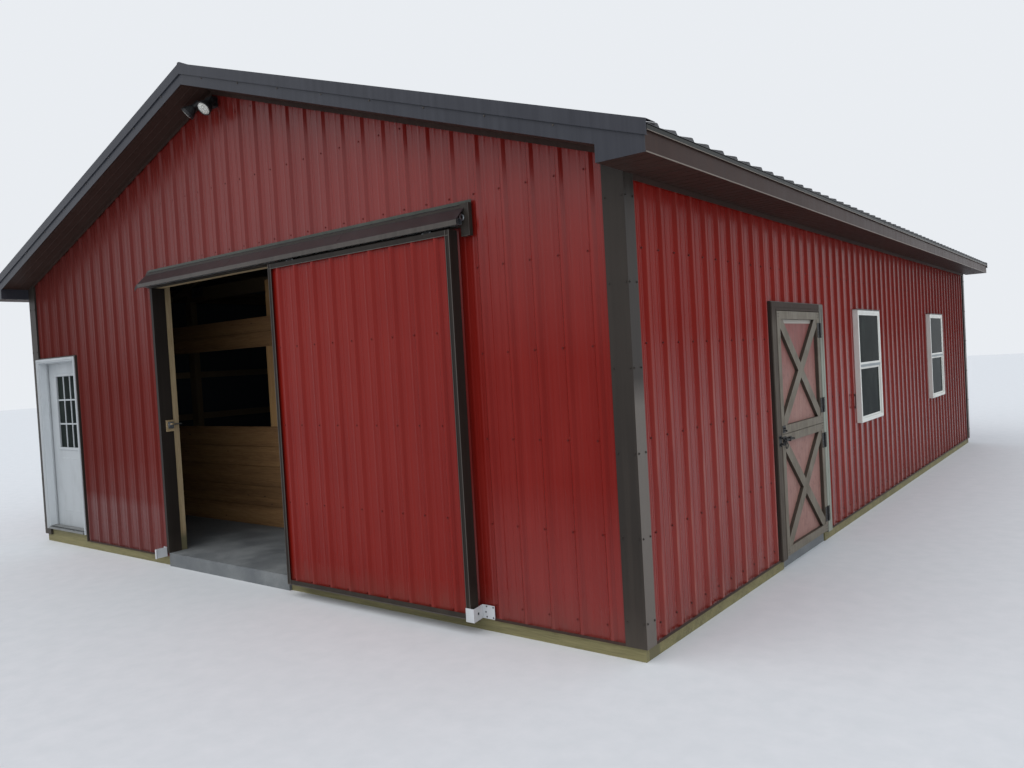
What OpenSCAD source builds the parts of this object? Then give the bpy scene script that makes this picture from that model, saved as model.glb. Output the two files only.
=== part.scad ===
// Post-frame barn with ribbed steel siding, a sliding door, a stable door and an entry door.
// Origin on the ground under the middle of the roof, front gable towards -Y, stable door on +X.

/* [Barn] */
// Width over the corner trims
barn_w = 8534; // [8000:1:9600]
// Length over the corner trims
barn_l = 12192; // [11800:1:13400]
// Height of the truss bearing and of the level soffit above the ground
eave_z = 3040; // [3035:1:3600]
// Rise of the roof for each unit of run
roof_pitch = 0.3333; // [0.3:0.005:0.4]
// Overhang of the roof past the corner trims
overhang = 322; // [250:1:420]

/* [Floor and skirt] */
// Top of the concrete slab
slab_top = 135; // [100:1:160]
// Height of the treated skirt boards
skirt_h = 184; // [170:1:235]
// Lower edge of the steel siding
siding_foot = 90; // [60:1:100]

/* [Steel sheets] */
// Thickness of a sheet between its ribs
sheet_t = 3; // [2:0.5:4]
// Height of a rib above the sheet
rib_h = 19; // [14:0.5:24]
// Distance from rib to rib
rib_pitch = 228.6; // [200:0.1:300]
// Width of a rib at its foot
rib_foot = 62; // [40:1:75]
// Width of a rib at its crest
rib_crest = 20; // [12:1:30]
// Thickness of the folded trims
trim_t = 3; // [2:0.5:4]

/* [Timber] */
// Thickness of girts, purlins, trusses and boards
board_t = 38; // [34:1:45]
// Width of girts, purlins and the trusses' upper chords
girt_w = 89; // [80:1:100]
// Depth of a post across the wall
post_d = 140; // [120:1:160]
// Width of a post along the wall
post_w = 89; // [80:1:100]
// Height of the trusses' lower chords
tie_h = 184; // [160:1:200]
// Number of bays between the side posts
bays = 6; // [6:1:6]
// Height of the lowest girt's middle
girt_z = 780; // [740:1:820]
// Distance from girt to girt
girt_pitch = 605; // [590:1:620]

/* [Corner trims] */
// Leg of a corner trim on the gable
corner_gable_leg = 155; // [120:1:160]
// Leg of a corner trim on the side wall
corner_side_leg = 124; // [100:1:140]

/* [Entry door] */
// Left edge of the entry door's frame, from the barn's left corner
entry_inset = 114; // [114:1:150]
// Width of the entry door's leaf
entry_w = 914; // [860:1:914]
// Height of the entry door's leaf
entry_h = 2020; // [1980:1:2060]
// Thickness of the entry door's leaf
entry_t = 44; // [40:1:50]
// Depth of the leaf's outer face behind the corner trims
entry_recess = 98; // [90:1:104]
// Width of the entry door's frame beside the leaf
entry_jamb = 53; // [45:1:60]
// Width of the glazed hole in the entry door
entry_lite_w = 508; // [400:1:600]
// Height of the glazed hole in the entry door
entry_lite_h = 880; // [700:1:950]

/* [Sliding door] */
// Middle of the sliding doorway
doorway_x = -306; // [-400:1:-250]
// Width of the sliding doorway
doorway_w = 2000; // [1800:1:2240]
// Height of the sliding doorway's head
doorway_top = 2885; // [2860:1:2900]
// Lap of the closed sliding door past the doorway's left edge
slider_lap_l = 39; // [30:1:45]
// Lap of the closed sliding door past the doorway's right edge
slider_lap_r = 48; // [40:1:60]
// Height of the sliding door
slider_h = 2753; // [2700:1:2765]
// Thickness of the sliding door
slider_t = 85; // [75:1:90]
// Gap between the doorway's right edge and the open sliding door
slider_open_gap = 151; // [120:1:200]

/* [Stable door] */
// Near edge of the stable door's frame, from the front corner
stable_y = 2381; // [2350:1:2420]
// Width of a leaf of the stable door
stable_w = 1151; // [1100:1:1170]
// Top of the stable door's upper leaf
stable_top = 2229; // [2180:1:2260]
// Height at which the two leaves meet
stable_meet = 1162; // [1100:1:1250]
// Bottom of the lower leaf
stable_foot = 111; // [100:1:125]
// Width of the jambs and of the head
stable_jamb = 122; // [100:1:130]
// Thickness of a leaf
stable_t = 45; // [38:1:50]
// Width of the rails and stiles
stable_rail = 70; // [70:1:100]
// Width of the cross braces
stable_brace = 98; // [80:1:110]
// Depth of a leaf's panel behind the braces' faces
stable_recess = 35; // [20:1:36]

/* [Windows] */
// Width of a window over its frame
window_w = 940; // [860:1:960]
// Height of a window over its frame
window_h = 1250; // [1150:1:1260]
// Lower edge of a window
window_z = 1032; // [1000:1:1060]
// Middles of the windows, from the front corner
window_y = [5448, 9345];
// Width of a window frame's face
window_face = 42; // [35:1:60]

/* [Stall] */
// Distance of the stall front from the front gable
stall_y = 1360; // [1300:1:1500]
// Left edge of the stall's free post, from the middle of the barn
stall_x = -1336; // [-1400:1:-1300]
// Top of the stall's boards
stall_board_top = 1322; // [1200:1:1400]
// Lower edge of the stall's upper boards
stall_beam_z = 2264; // [2200:1:2300]
// Height of the stall's upper boards
stall_beam_h = 352; // [300:1:380]
// Thickness of the stall's square posts
stall_post = 140; // [120:1:160]

/* [Hidden] */

siding_red = [0.45, 0.15, 0.14];
roof_dark = [0.25, 0.25, 0.26];
trim_dark = [0.24, 0.22, 0.20];
lumber = [0.66, 0.53, 0.36];
treated = [0.45, 0.44, 0.30];
concrete = [0.62, 0.62, 0.61];
white = [0.90, 0.90, 0.90];
black = [0.08, 0.08, 0.08];
door_grey = [0.42, 0.39, 0.36];
steel = [0.60, 0.60, 0.60];

gap = 5;
// Clearance where two sloping faces lie on each other, so that rounding can't make them overlap
hair = 0.05;
skin = sheet_t + rib_h + trim_t;
half_w = barn_w / 2;
half_l = barn_l / 2;
girt_x = half_w - skin;
girt_y = half_l - skin;
rib_face = skin - trim_t;
post_x = girt_x - board_t;
post_y = girt_y - board_t;
corner_in_x = girt_x - post_w;
corner_in_y = post_y - post_d;

// The roof's planes, each given by its height over the middle of the barn
slope_angle = atan(roof_pitch);
slope_cos = cos(slope_angle);
tail_x = half_w + overhang - trim_t - board_t;
fascia_x = half_w + overhang - trim_t;
soffit_t = 10;
rake_drop = 185;
ridge_z = eave_z + rake_drop + roof_pitch * (half_w + overhang);
crest_z = ridge_z - trim_t;
sheet_z = crest_z - (sheet_t + rib_h) / slope_cos - hair;
purlin_z = sheet_z - board_t / slope_cos - hair;
rafter_z = purlin_z - hair;
chord_z = rafter_z - girt_w / slope_cos;
soffit_z = chord_z - soffit_t / slope_cos;
wall_top_z = soffit_z - hair;
sheet_past = 18;
sheet_end_x = half_w + overhang + sheet_past;
rake_y = half_l + overhang;
rake_step = 12;
frame_y = rake_y - rake_step - trim_t;
rake_seam_z = ridge_z - rake_drop / 2;
ridge_seam = 0.1;

bay_l = 2 * (corner_in_y + post_d / 2) / bays;
post_rows = [for (i = [1:bays - 1]) i * bay_l - bays * bay_l / 2];
truss_rows = concat([-post_y + board_t / 2], post_rows, [post_y - board_t / 2]);

entry_l = -half_w + entry_inset;
entry_r = entry_l + 2 * entry_jamb + 2 * gap + entry_w;
entry_foot = siding_foot + 78;
entry_sill = 27;
entry_head = entry_foot + entry_sill + 2 * gap + entry_h;
entry_top = entry_head + 49;
entry_leaf_x = entry_l + entry_jamb + gap;
entry_leaf_z = entry_foot + entry_sill + gap;
entry_lite_z = entry_leaf_z + entry_h - entry_lite_h - 165;

door_l = doorway_x - doorway_w / 2;
door_r = doorway_x + doorway_w / 2;
slider_x = door_r + slider_open_gap;
slider_w = doorway_w + slider_lap_l + slider_lap_r;
slider_travel = slider_x - door_l + slider_lap_l;
slider_back = half_l + 35;
slider_front = slider_back + slider_t;
slider_z = 112;
slider_top = slider_z + slider_h;
guide_clear = 8;
guide_l_x = slider_x - slider_travel;
guide_l_leg = 60;
guide_r_leg = 113;
doorway_flange = 40;
base_h = 18;
frieze_h = 36;

stable_l = -half_l + stable_y;
stable_leaf_l = stable_l + stable_jamb;
stable_leaf_r = stable_leaf_l + gap + stable_w;
stable_r = stable_leaf_r + gap + stable_jamb;
stable_face = half_w + 14;
stable_head = stable_top + gap;
stable_frame_top = stable_head + 70;
pin_x = stable_face + 8;
pin_y = stable_leaf_r + gap / 2;
lower_hinge_rows = [stable_foot + 163, stable_meet - 169];
upper_hinge_rows = [stable_meet + 173, stable_top - 173];
rib_rows_front = [for (x = [-half_w + 281.8 : rib_pitch : half_w - corner_gable_leg - rib_foot / 2]) x];
side_rib_n = floor((barn_l - 2 * corner_side_leg - rib_foot) / rib_pitch);
rib_rows_side = [for (i = [0:side_rib_n]) (i - side_rib_n / 2) * rib_pitch];
roof_rib_n = floor((2 * rake_y - 250) / rib_pitch);
rib_rows_roof = [for (i = [0:roof_rib_n]) (i - roof_rib_n / 2) * rib_pitch];

girt_rows = [for (i = [0:3]) girt_z + i * girt_pitch];
tie_girt_z = eave_z + 70;
gable_rows = [for (i = [0:2]) tie_girt_z + i * girt_pitch];

// A box between two corners
module span(a, b) {
    translate(a) cube(b - a);
}

// The outline across a ribbed sheet: a flat back on y = 0 and ribs standing out to +y
module rib_profile(from, to, ribs) {
    inner = [for (r = ribs) if (r - rib_foot / 2 > from && r + rib_foot / 2 < to) r];
    crest = sheet_t + rib_h;
    polygon(concat(
        [[from, 0], [from, sheet_t]],
        [for (r = inner) each [
            [r - rib_foot / 2, sheet_t], [r - rib_crest / 2, crest],
            [r + rib_crest / 2, crest], [r + rib_foot / 2, sheet_t]
        ]],
        [[to, sheet_t], [to, 0]]
    ));
}

// Height of a roof plane at a distance from the middle of the barn
function roof_at(top, x) = top - roof_pitch * abs(x);

// A ribbed sheet on the front gable between two places along X
module gable_sheet(from, to, foot) {
    top = wall_top_z + 1;
    translate([0, -girt_y, 0]) mirror([0, 1, 0]) intersection() {
        translate([0, 0, foot]) linear_extrude(top - foot) rib_profile(from, to, rib_rows_front);
        rotate([90, 0, 0]) translate([0, 0, -skin]) linear_extrude(2 * skin) polygon(concat(
            [[from, foot], [to, foot], [to, roof_at(wall_top_z, to)]],
            from < 0 && to > 0 ? [[0, wall_top_z]] : [],
            [[from, roof_at(wall_top_z, from)]]
        ));
    }
}

// A ribbed sheet on the right-hand wall between two places along Y
module side_sheet(from, to, foot, top) {
    translate([girt_x, 0, foot]) rotate([0, 0, 90]) mirror([0, 1, 0])
        linear_extrude(top - foot) rib_profile(from, to, rib_rows_side);
}

// Both of a thing on the right-hand side and its mirror image
module both_sides() {
    children();
    mirror([1, 0, 0]) children();
}

// Both of a thing at the front and its mirror image at the rear
module both_ends() {
    children();
    mirror([0, 1, 0]) children();
}

// A plate lying in the plane across the barn, from y1 to y2
module across(y1, y2, points) {
    translate([0, y2, 0]) rotate([90, 0, 0]) linear_extrude(y2 - y1) polygon(points);
}

// A sloping strip of the right-hand roof between two planes and two distances
module rake_strip(y1, y2, top, low, from, to) {
    across(y1, y2, [
        [from, roof_at(low, from)], [to, roof_at(low, to)],
        [to, roof_at(top, to)], [from, roof_at(top, from)]
    ]);
}

module floor_slab() {
    color(concrete) difference() {
        union() {
            span([-post_x, -post_y, 0], [post_x, post_y, slab_top]);
            span([door_l, -half_l, 0], [door_r, -post_y, slab_top]);
            span([post_x, stable_leaf_l, 0],
                [stable_face - stable_t - gap, stable_leaf_r + gap, slab_top]);
        }
        posts();
    }
}

module skirt_boards() {
    color(treated) difference() {
        union() {
            both_ends() span([-girt_x, -girt_y, 0], [girt_x, -post_y, skirt_h]);
            both_sides() span([post_x, -corner_in_y, 0], [girt_x, corner_in_y, skirt_h]);
        }
        span([entry_l, -half_l, entry_foot], [entry_r, 0, skirt_h + 1]);
        span([door_l - trim_t, -half_l, -1], [door_r + trim_t, 0, skirt_h + 1]);
        span([0, stable_l, siding_foot], [half_w, stable_r, skirt_h + 1]);
        span([0, stable_leaf_l, -1], [half_w, stable_leaf_r + gap, skirt_h + 1]);
    }
}

module side_post(y) {
    span([post_x - post_d, y - post_w / 2, 0], [post_x, y + post_w / 2, eave_z]);
}

module gable_post(x) {
    span([x, -post_y, 0], [x + post_w, -corner_in_y, eave_z]);
}

module posts() {
    rear_step = barn_w / 4;
    color(lumber) {
        both_ends() both_sides() span([corner_in_x, -post_y, 0], [girt_x, -corner_in_y, eave_z]);
        both_sides() for (y = post_rows) side_post(y);
        side_post(stable_l - post_w / 2);
        side_post(stable_r + post_w / 2);
        gable_post(entry_r);
        gable_post(door_l - trim_t - post_w);
        gable_post(door_r + trim_t);
        gable_post((door_r + corner_in_x) / 2);
        for (i = [-1:1]) mirror([0, 1, 0]) gable_post(i * rear_step - post_w / 2);
    }
}

module side_girt(from, to, z) {
    span([post_x, from, z - girt_w / 2], [girt_x, to, z + girt_w / 2]);
}

// The side girts are cut at the windows and at the stable door
module side_girts() {
    cut = window_w / 2 + board_t;
    for (z = girt_rows) {
        at_window = z > window_z - girt_w && z < window_z + window_h + girt_w;
        at_door = z < stable_frame_top;
        stops = concat(
            [-corner_in_y],
            at_window ? [for (w = window_y) each [w - half_l - cut, w - half_l + cut]] : [],
            [corner_in_y]
        );
        door_stops = concat([-corner_in_y], at_door ? [stable_l, stable_r] : [],
            [for (i = [1:1:len(stops) - 1]) stops[i]]);
        mirror([1, 0, 0]) for (i = [0:2:len(stops) - 1]) side_girt(stops[i], stops[i + 1], z);
        for (i = [0:2:len(door_stops) - 1]) side_girt(door_stops[i], door_stops[i + 1], z);
    }
}

module gable_girt(from, to, z) {
    span([from, -girt_y, z - girt_w / 2], [to, -post_y, z + girt_w / 2]);
}

module gable_girts() {
    for (z = girt_rows) {
        if (z < entry_top) {
            gable_girt(-girt_x, entry_l, z);
            gable_girt(entry_r, door_l - trim_t, z);
        } else {
            gable_girt(-girt_x, door_l - trim_t, z);
        }
        gable_girt(door_r + trim_t, girt_x, z);
        mirror([0, 1, 0]) gable_girt(-girt_x, girt_x, z);
    }
    both_ends() for (z = gable_rows) {
        reach = min(girt_x, (soffit_z - z - girt_w / 2) / roof_pitch);
        gable_girt(-reach, reach, z);
    }
}

module door_headers() {
    span([entry_l, -girt_y, entry_top], [entry_r, -post_y, entry_top + girt_w]);
    span([door_l - trim_t - post_w, -girt_y, doorway_top + trim_t],
        [door_r + trim_t + post_w, -post_y, eave_z]);
    span([door_l - trim_t, -girt_y, doorway_top + trim_t],
        [door_r + trim_t, -girt_y + girt_w, eave_z]);
    span([post_x, stable_l, stable_frame_top], [girt_x, stable_r, stable_frame_top + girt_w]);
}

module girts() {
    color(lumber) {
        side_girts();
        gable_girts();
        door_headers();
    }
}

// Upright framing beside each window, between the girts under and over it
module window_studs() {
    low = girt_rows[0] + girt_w / 2;
    high = girt_rows[3] - girt_w / 2;
    color(lumber) both_sides() for (w = window_y) for (s = [-1, 1]) {
        edge = w - half_l + s * (window_w + board_t) / 2;
        span([post_x, edge - board_t / 2, low], [girt_x, edge + board_t / 2, high]);
    }
}

module truss_top_chords() {
    color(lumber) both_sides() for (y = truss_rows)
        rake_strip(y - board_t / 2, y + board_t / 2, rafter_z, chord_z, girt_w / 2, tail_x);
}

module truss_bottom_chords() {
    top = eave_z + tie_h;
    heel_x = (chord_z - top) / roof_pitch;
    heel_z = roof_at(chord_z, post_x);
    color(lumber) for (y = truss_rows) across(y - board_t / 2, y + board_t / 2, [
        [-post_x, eave_z], [post_x, eave_z], [post_x, heel_z],
        [heel_x, top], [-heel_x, top], [-post_x, heel_z]
    ]);
}

// A king post and two braces in each truss
module truss_webs() {
    foot = eave_z + tie_h;
    side = girt_w / 2;
    brace_x = half_w / 2 - 100;
    brace_foot = 1.4 * girt_w;
    brace_top = 1.2 * girt_w;
    color(lumber) for (y = truss_rows) {
        across(y - board_t / 2, y + board_t / 2, [
            [-side, foot], [side, foot], [side, roof_at(rafter_z, side)],
            [0, rafter_z], [-side, roof_at(rafter_z, side)]
        ]);
        both_sides() across(y - board_t / 2, y + board_t / 2, [
            [side + gap, foot], [side + gap + brace_foot, foot],
            [brace_x + brace_top, roof_at(chord_z, brace_x + brace_top)],
            [brace_x, roof_at(chord_z, brace_x)]
        ]);
    }
}

// A frame lying in the right-hand roof: x runs down the slope and z is square to it
module on_slope(z) {
    translate([0, 0, z]) rotate([0, slope_angle, 0]) children();
}

module purlins() {
    run = (tail_x - girt_w) / slope_cos;
    count = 7;
    first = 70;
    step = (run - first) / count;
    color(lumber) both_sides() on_slope(purlin_z) for (i = [0:count])
        span([first + i * step, -frame_y, 0], [first + i * step + girt_w, frame_y, board_t]);
}

module barge_rafters() {
    color(lumber) both_ends() both_sides()
        rake_strip(-frame_y, -frame_y + board_t, rafter_z, chord_z, ridge_seam, tail_x);
}

module fascia_boards() {
    color(lumber) both_sides() across(-frame_y, frame_y, [
        [tail_x, eave_z + soffit_t], [fascia_x, eave_z + soffit_t],
        [fascia_x, roof_at(rafter_z, fascia_x)], [tail_x, roof_at(rafter_z, tail_x)]
    ]);
}

module roof_sheet() {
    run = sheet_end_x / slope_cos;
    color(roof_dark) intersection() {
        on_slope(sheet_z) translate([-2 * rib_h, 0, 0]) rotate([90, 0, 90])
            linear_extrude(run + 2 * rib_h) rib_profile(-frame_y, frame_y, rib_rows_roof);
        span([0, -rake_y, 0], [sheet_end_x, rake_y, ridge_z + rib_h]);
    }
}

module roof_sheet_left() {
    mirror([1, 0, 0]) roof_sheet();
}

module roof_sheet_right() {
    roof_sheet();
}

cap_x = 190;

module ridge_cap() {
    roll_x = 22;
    roll_z = crest_z + trim_t + 9;
    color(trim_dark) across(-rake_y, rake_y, concat(
        [[-cap_x, roof_at(crest_z, cap_x)], [0, crest_z], [cap_x, roof_at(crest_z, cap_x)]],
        [[cap_x, roof_at(ridge_z, cap_x)], [roll_x, roof_at(ridge_z, roll_x)]],
        [[0.6 * roll_x, roll_z], [-0.6 * roll_x, roll_z]],
        [[-roll_x, roof_at(ridge_z, roll_x)], [-cap_x, roof_at(ridge_z, cap_x)]]
    ));
}

// Each rake has two faces: a folded one with a flange over the roof's ribs and a lip along its
// lower edge, and a flat one that stands back under it
module rake_trims() {
    end_x = half_w + overhang;
    flange = 112;
    low = ridge_z - rake_drop;
    lip_z = rake_seam_z + trim_t / slope_cos;
    color(trim_dark) both_ends() both_sides() {
        rake_strip(-rake_y, -rake_y + trim_t, crest_z, rake_seam_z, ridge_seam, sheet_end_x);
        rake_strip(-rake_y, -frame_y, lip_z, rake_seam_z, ridge_seam, sheet_end_x);
        rake_strip(-frame_y - trim_t, -frame_y, lip_z, low, ridge_seam, end_x);
        rake_strip(-rake_y, -rake_y + flange, ridge_z, crest_z, cap_x, sheet_end_x);
    }
}

module eave_trim() {
    color(trim_dark) both_sides() span(
        [fascia_x, -frame_y, eave_z],
        [half_w + overhang, frame_y, roof_at(sheet_z, half_w + overhang)]
    );
}

// Level soffits under the eaves and sloping ones under the rakes
module soffits() {
    color(trim_dark) both_sides() {
        difference() {
            span([girt_x, -frame_y, eave_z], [fascia_x, frame_y, eave_z + soffit_t]);
            both_ends() span([0, -rake_y, eave_z - 1], [half_w, -girt_y, eave_z + soffit_t + 1]);
        }
        both_ends() rake_strip(-frame_y, -girt_y, chord_z, soffit_z, ridge_seam, half_w - trim_t);
    }
}

// The box that closes the eave at each end: a plate in front and one beside the wall
module eave_returns() {
    low = ridge_z - rake_drop;
    end_x = half_w + overhang;
    color(trim_dark) both_ends() both_sides() {
        across(-frame_y - trim_t, -frame_y, [
            [half_w - trim_t, eave_z], [end_x, eave_z], [half_w - trim_t, roof_at(low, half_w - trim_t)]
        ]);
        span([half_w - trim_t, -frame_y, eave_z],
            [half_w, -half_l, roof_at(soffit_z, half_w)]);
    }
}

module front_wall() {
    color(siding_red) {
        gable_sheet(-girt_x, entry_l, siding_foot);
        gable_sheet(entry_r, door_l - trim_t, siding_foot);
        gable_sheet(door_r + trim_t, girt_x, siding_foot);
    }
}

module walls_over_doors() {
    color(siding_red) {
        gable_sheet(entry_l, entry_r, entry_top);
        gable_sheet(door_l - trim_t, door_r + trim_t, doorway_top + trim_t);
        side_sheet(stable_l, stable_r, stable_frame_top, eave_z);
    }
}

module rear_wall() {
    color(siding_red) rotate([0, 0, 180]) gable_sheet(-girt_x, girt_x, siding_foot);
}

module window_holes() {
    for (w = window_y)
        span([0, w - half_l - window_w / 2, window_z],
            [half_w, w - half_l + window_w / 2, window_z + window_h]);
}

module left_wall() {
    color(siding_red) mirror([1, 0, 0]) difference() {
        side_sheet(-girt_y, girt_y, siding_foot, eave_z);
        window_holes();
    }
}

module right_wall() {
    color(siding_red) difference() {
        union() {
            side_sheet(-girt_y, stable_l, siding_foot, eave_z);
            side_sheet(stable_r, girt_y, siding_foot, eave_z);
        }
        window_holes();
    }
}

// A folded corner trim, with a lip along each edge that rests on the flat of the sheet
module corner_trim() {
    flat_x = girt_x + sheet_t;
    flat_y = girt_y + sheet_t;
    leg_x = half_w - corner_gable_leg;
    leg_y = half_l - corner_side_leg;
    translate([0, 0, siding_foot]) linear_extrude(eave_z - siding_foot) polygon([
        [leg_x, -half_l], [half_w, -half_l], [half_w, -leg_y], [flat_x, -leg_y],
        [flat_x, -leg_y - trim_t], [half_w - trim_t, -leg_y - trim_t],
        [half_w - trim_t, -half_l + trim_t], [leg_x + trim_t, -half_l + trim_t],
        [leg_x + trim_t, -flat_y], [leg_x, -flat_y]
    ]);
}

// The gable leg goes on above the eave, up to the sloping soffit
module corner_trim_top() {
    flat_y = girt_y + sheet_t;
    leg_x = half_w - corner_gable_leg;
    end_x = half_w - trim_t;
    intersection() {
        translate([0, 0, siding_foot]) linear_extrude(wall_top_z - siding_foot) polygon([
            [leg_x, -half_l], [end_x, -half_l], [end_x, -half_l + trim_t],
            [leg_x + trim_t, -half_l + trim_t], [leg_x + trim_t, -flat_y], [leg_x, -flat_y]
        ]);
        across(-half_l - 1, -girt_y, [
            [leg_x - 1, 0], [half_w, 0],
            [half_w, roof_at(wall_top_z, half_w)], [leg_x - 1, roof_at(wall_top_z, leg_x - 1)]
        ]);
    }
}

module corner_trims() {
    color(trim_dark) difference() {
        both_ends() both_sides() union() {
            corner_trim();
            corner_trim_top();
        }
        span([entry_l, -half_l - 1, 0], [0, -girt_y, entry_top]);
    }
}

module base_strip(from, to) {
    span([from, -half_l, siding_foot], [to, -half_l + trim_t, siding_foot + base_h]);
}

// The strips along the siding's foot, and those along its top under the soffits
module wall_edge_trims() {
    leg_x = half_w - corner_gable_leg;
    leg_y = half_l - corner_side_leg;
    color(trim_dark) {
        base_strip(entry_r, guide_l_x - guide_clear - guide_l_leg);
        base_strip(door_r + doorway_flange, slider_x + slider_w + guide_clear);
        base_strip(slider_x + slider_w + guide_clear + guide_r_leg, leg_x);
        mirror([0, 1, 0]) base_strip(-leg_x, leg_x);
        span([-half_w, -leg_y, siding_foot], [-half_w + trim_t, leg_y, siding_foot + base_h]);
        span([half_w - trim_t, -leg_y, siding_foot], [half_w, stable_l, siding_foot + base_h]);
        span([half_w - trim_t, stable_r, siding_foot], [half_w, leg_y, siding_foot + base_h]);
        both_sides() span([half_w - trim_t, -leg_y, eave_z - frieze_h], [half_w, leg_y, eave_z]);
        both_ends() both_sides() rake_strip(-half_l, -half_l + trim_t, wall_top_z,
            wall_top_z - frieze_h, ridge_seam, half_w - corner_gable_leg);
    }
}

// Folded steel round the sliding doorway: a jamb face and a flange on the siding
module doorway_trim() {
    wrap_y = half_l - post_d;
    color(trim_dark) {
        for (s = [-1, 1]) translate([doorway_x, 0, 0]) scale([s, 1, 1]) {
            edge = doorway_w / 2;
            span([edge, -half_l, slab_top], [edge + trim_t, -wrap_y, doorway_top + trim_t]);
            span([edge, -half_l, slab_top], [edge + doorway_flange, -half_l + trim_t, doorway_top + trim_t]);
        }
        span([door_l, -half_l, doorway_top], [door_r, -girt_y, doorway_top + trim_t]);
    }
}

cover_l = door_l - 38;
cover_r = slider_x + slider_w + 77;
lip_y = slider_front + gap;
lip_low = slider_top + 25;
lip_top = lip_low + 34;
cover_z = lip_top + 179;
rail_y = slider_back + slider_t / 2;
rail_w = 44;
rail_low = slider_top + 30;
rail_h = 45;
rail_wall = 3;
rail_slot = 16;
board_low = max(slider_top + 23, doorway_top + trim_t);
board_high = board_low + 147;

// The board behind the rail, with an upright block at its right end
module track_board() {
    face_y = half_l - trim_t;
    front_y = face_y + board_t - trim_t;
    block_l = cover_r - 38;
    block_r = cover_r + 42;
    block_low = slider_top - 45;
    color(trim_dark) {
        span([cover_l, -front_y, board_low], [cover_r, -face_y, board_high]);
        span([block_l, -front_y, block_low], [block_r, -face_y, board_high + 15]);
    }
}

// The rail is a box with a slot along its underside, held off the board by brackets
module door_track() {
    board_face = half_l - trim_t + board_t - trim_t;
    bracket_w = 60;
    bracket_n = 7;
    step = (cover_r - cover_l - bracket_w) / bracket_n;
    color(steel) {
        difference() {
            span([cover_l + gap, -rail_y - rail_w / 2, rail_low],
                [cover_r - gap, -rail_y + rail_w / 2, rail_low + rail_h]);
            span([cover_l, -rail_y - rail_w / 2 + rail_wall, rail_low + rail_wall],
                [cover_r, -rail_y + rail_w / 2 - rail_wall, rail_low + rail_h - rail_wall]);
            span([cover_l, -rail_y - rail_slot / 2, rail_low - 1],
                [cover_r, -rail_y + rail_slot / 2, rail_low + rail_h / 2]);
        }
        for (i = [0:bracket_n - 1])
            span([cover_l + step / 2 + i * step, -rail_y + rail_w / 2, rail_low + 8],
                [cover_l + step / 2 + i * step + bracket_w, -board_face, rail_low + 38]);
    }
}

module track_cover() {
    face_y = half_l - trim_t;
    fold = trim_t * 1.2;
    color(trim_dark) translate([cover_l, 0, 0]) rotate([90, 0, 90])
        linear_extrude(cover_r - cover_l) polygon([
            [-face_y, cover_z + fold], [-lip_y, lip_top + fold], [-lip_y, lip_low],
            [-lip_y + trim_t, lip_low], [-lip_y + trim_t, lip_top - fold / 2],
            [-face_y, cover_z - fold / 2]
        ]);
}

// A folded guide that keeps the sliding door's lower corner against the wall: a leg on the
// wall, a web that leans out by the nose, and a plate that laps the door's face
module door_guide(reach, nose, leg) {
    plate = 3;
    low = 96;
    high = 194;
    face_y = half_l - trim_t;
    front_y = slider_front + gap;
    translate([0, 0, low]) linear_extrude(high - low) polygon([
        [-reach, -front_y - plate], [nose + plate, -front_y - plate], [plate, -face_y - plate],
        [leg, -face_y - plate], [leg, -face_y], [0, -face_y], [nose, -front_y], [-reach, -front_y]
    ]);
}

module door_guides() {
    color(white) {
        translate([slider_x + slider_w + guide_clear, 0, 0]) door_guide(47, 26, guide_r_leg);
        translate([guide_l_x - guide_clear, 0, 0]) mirror([1, 0, 0]) door_guide(22, 0, guide_l_leg);
    }
}

module jamb_latch() {
    latch_y = half_l - 56;
    latch_z = 1396;
    color(treated) span([door_l, -latch_y, latch_z], [door_l + 20, -latch_y + 87, latch_z + 118]);
    color(black) span([door_l + 20, -latch_y + 30, latch_z + 70],
        [door_l + 60, -latch_y + 50, latch_z + 86]);
}

module entry_door_frame() {
    depth_y = half_l - entry_recess - entry_t;
    color(white) difference() {
        span([entry_l, -half_l - 6, entry_foot], [entry_r, -depth_y, entry_top]);
        span([entry_l + entry_jamb, -half_l - 7, entry_foot + entry_sill],
            [entry_r - entry_jamb, -depth_y + 1, entry_head]);
    }
}

module entry_door_leaf() {
    face_y = half_l - entry_recess;
    lite_x = entry_leaf_x + (entry_w - entry_lite_w) / 2;
    color(white) difference() {
        span([entry_leaf_x, -face_y, entry_leaf_z],
            [entry_leaf_x + entry_w, -face_y + entry_t, entry_leaf_z + entry_h]);
        span([lite_x, -face_y - 1, entry_lite_z],
            [lite_x + entry_lite_w, -face_y + entry_t + 1, entry_lite_z + entry_lite_h]);
    }
}

module entry_door_glass() {
    mid_y = half_l - entry_recess - entry_t / 2;
    lite_x = entry_leaf_x + (entry_w - entry_lite_w) / 2;
    pane = 12;
    color([0.6, 0.7, 0.75, 0.5]) span([lite_x, -mid_y - pane / 2, entry_lite_z],
        [lite_x + entry_lite_w, -mid_y + pane / 2, entry_lite_z + entry_lite_h]);
}

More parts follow.
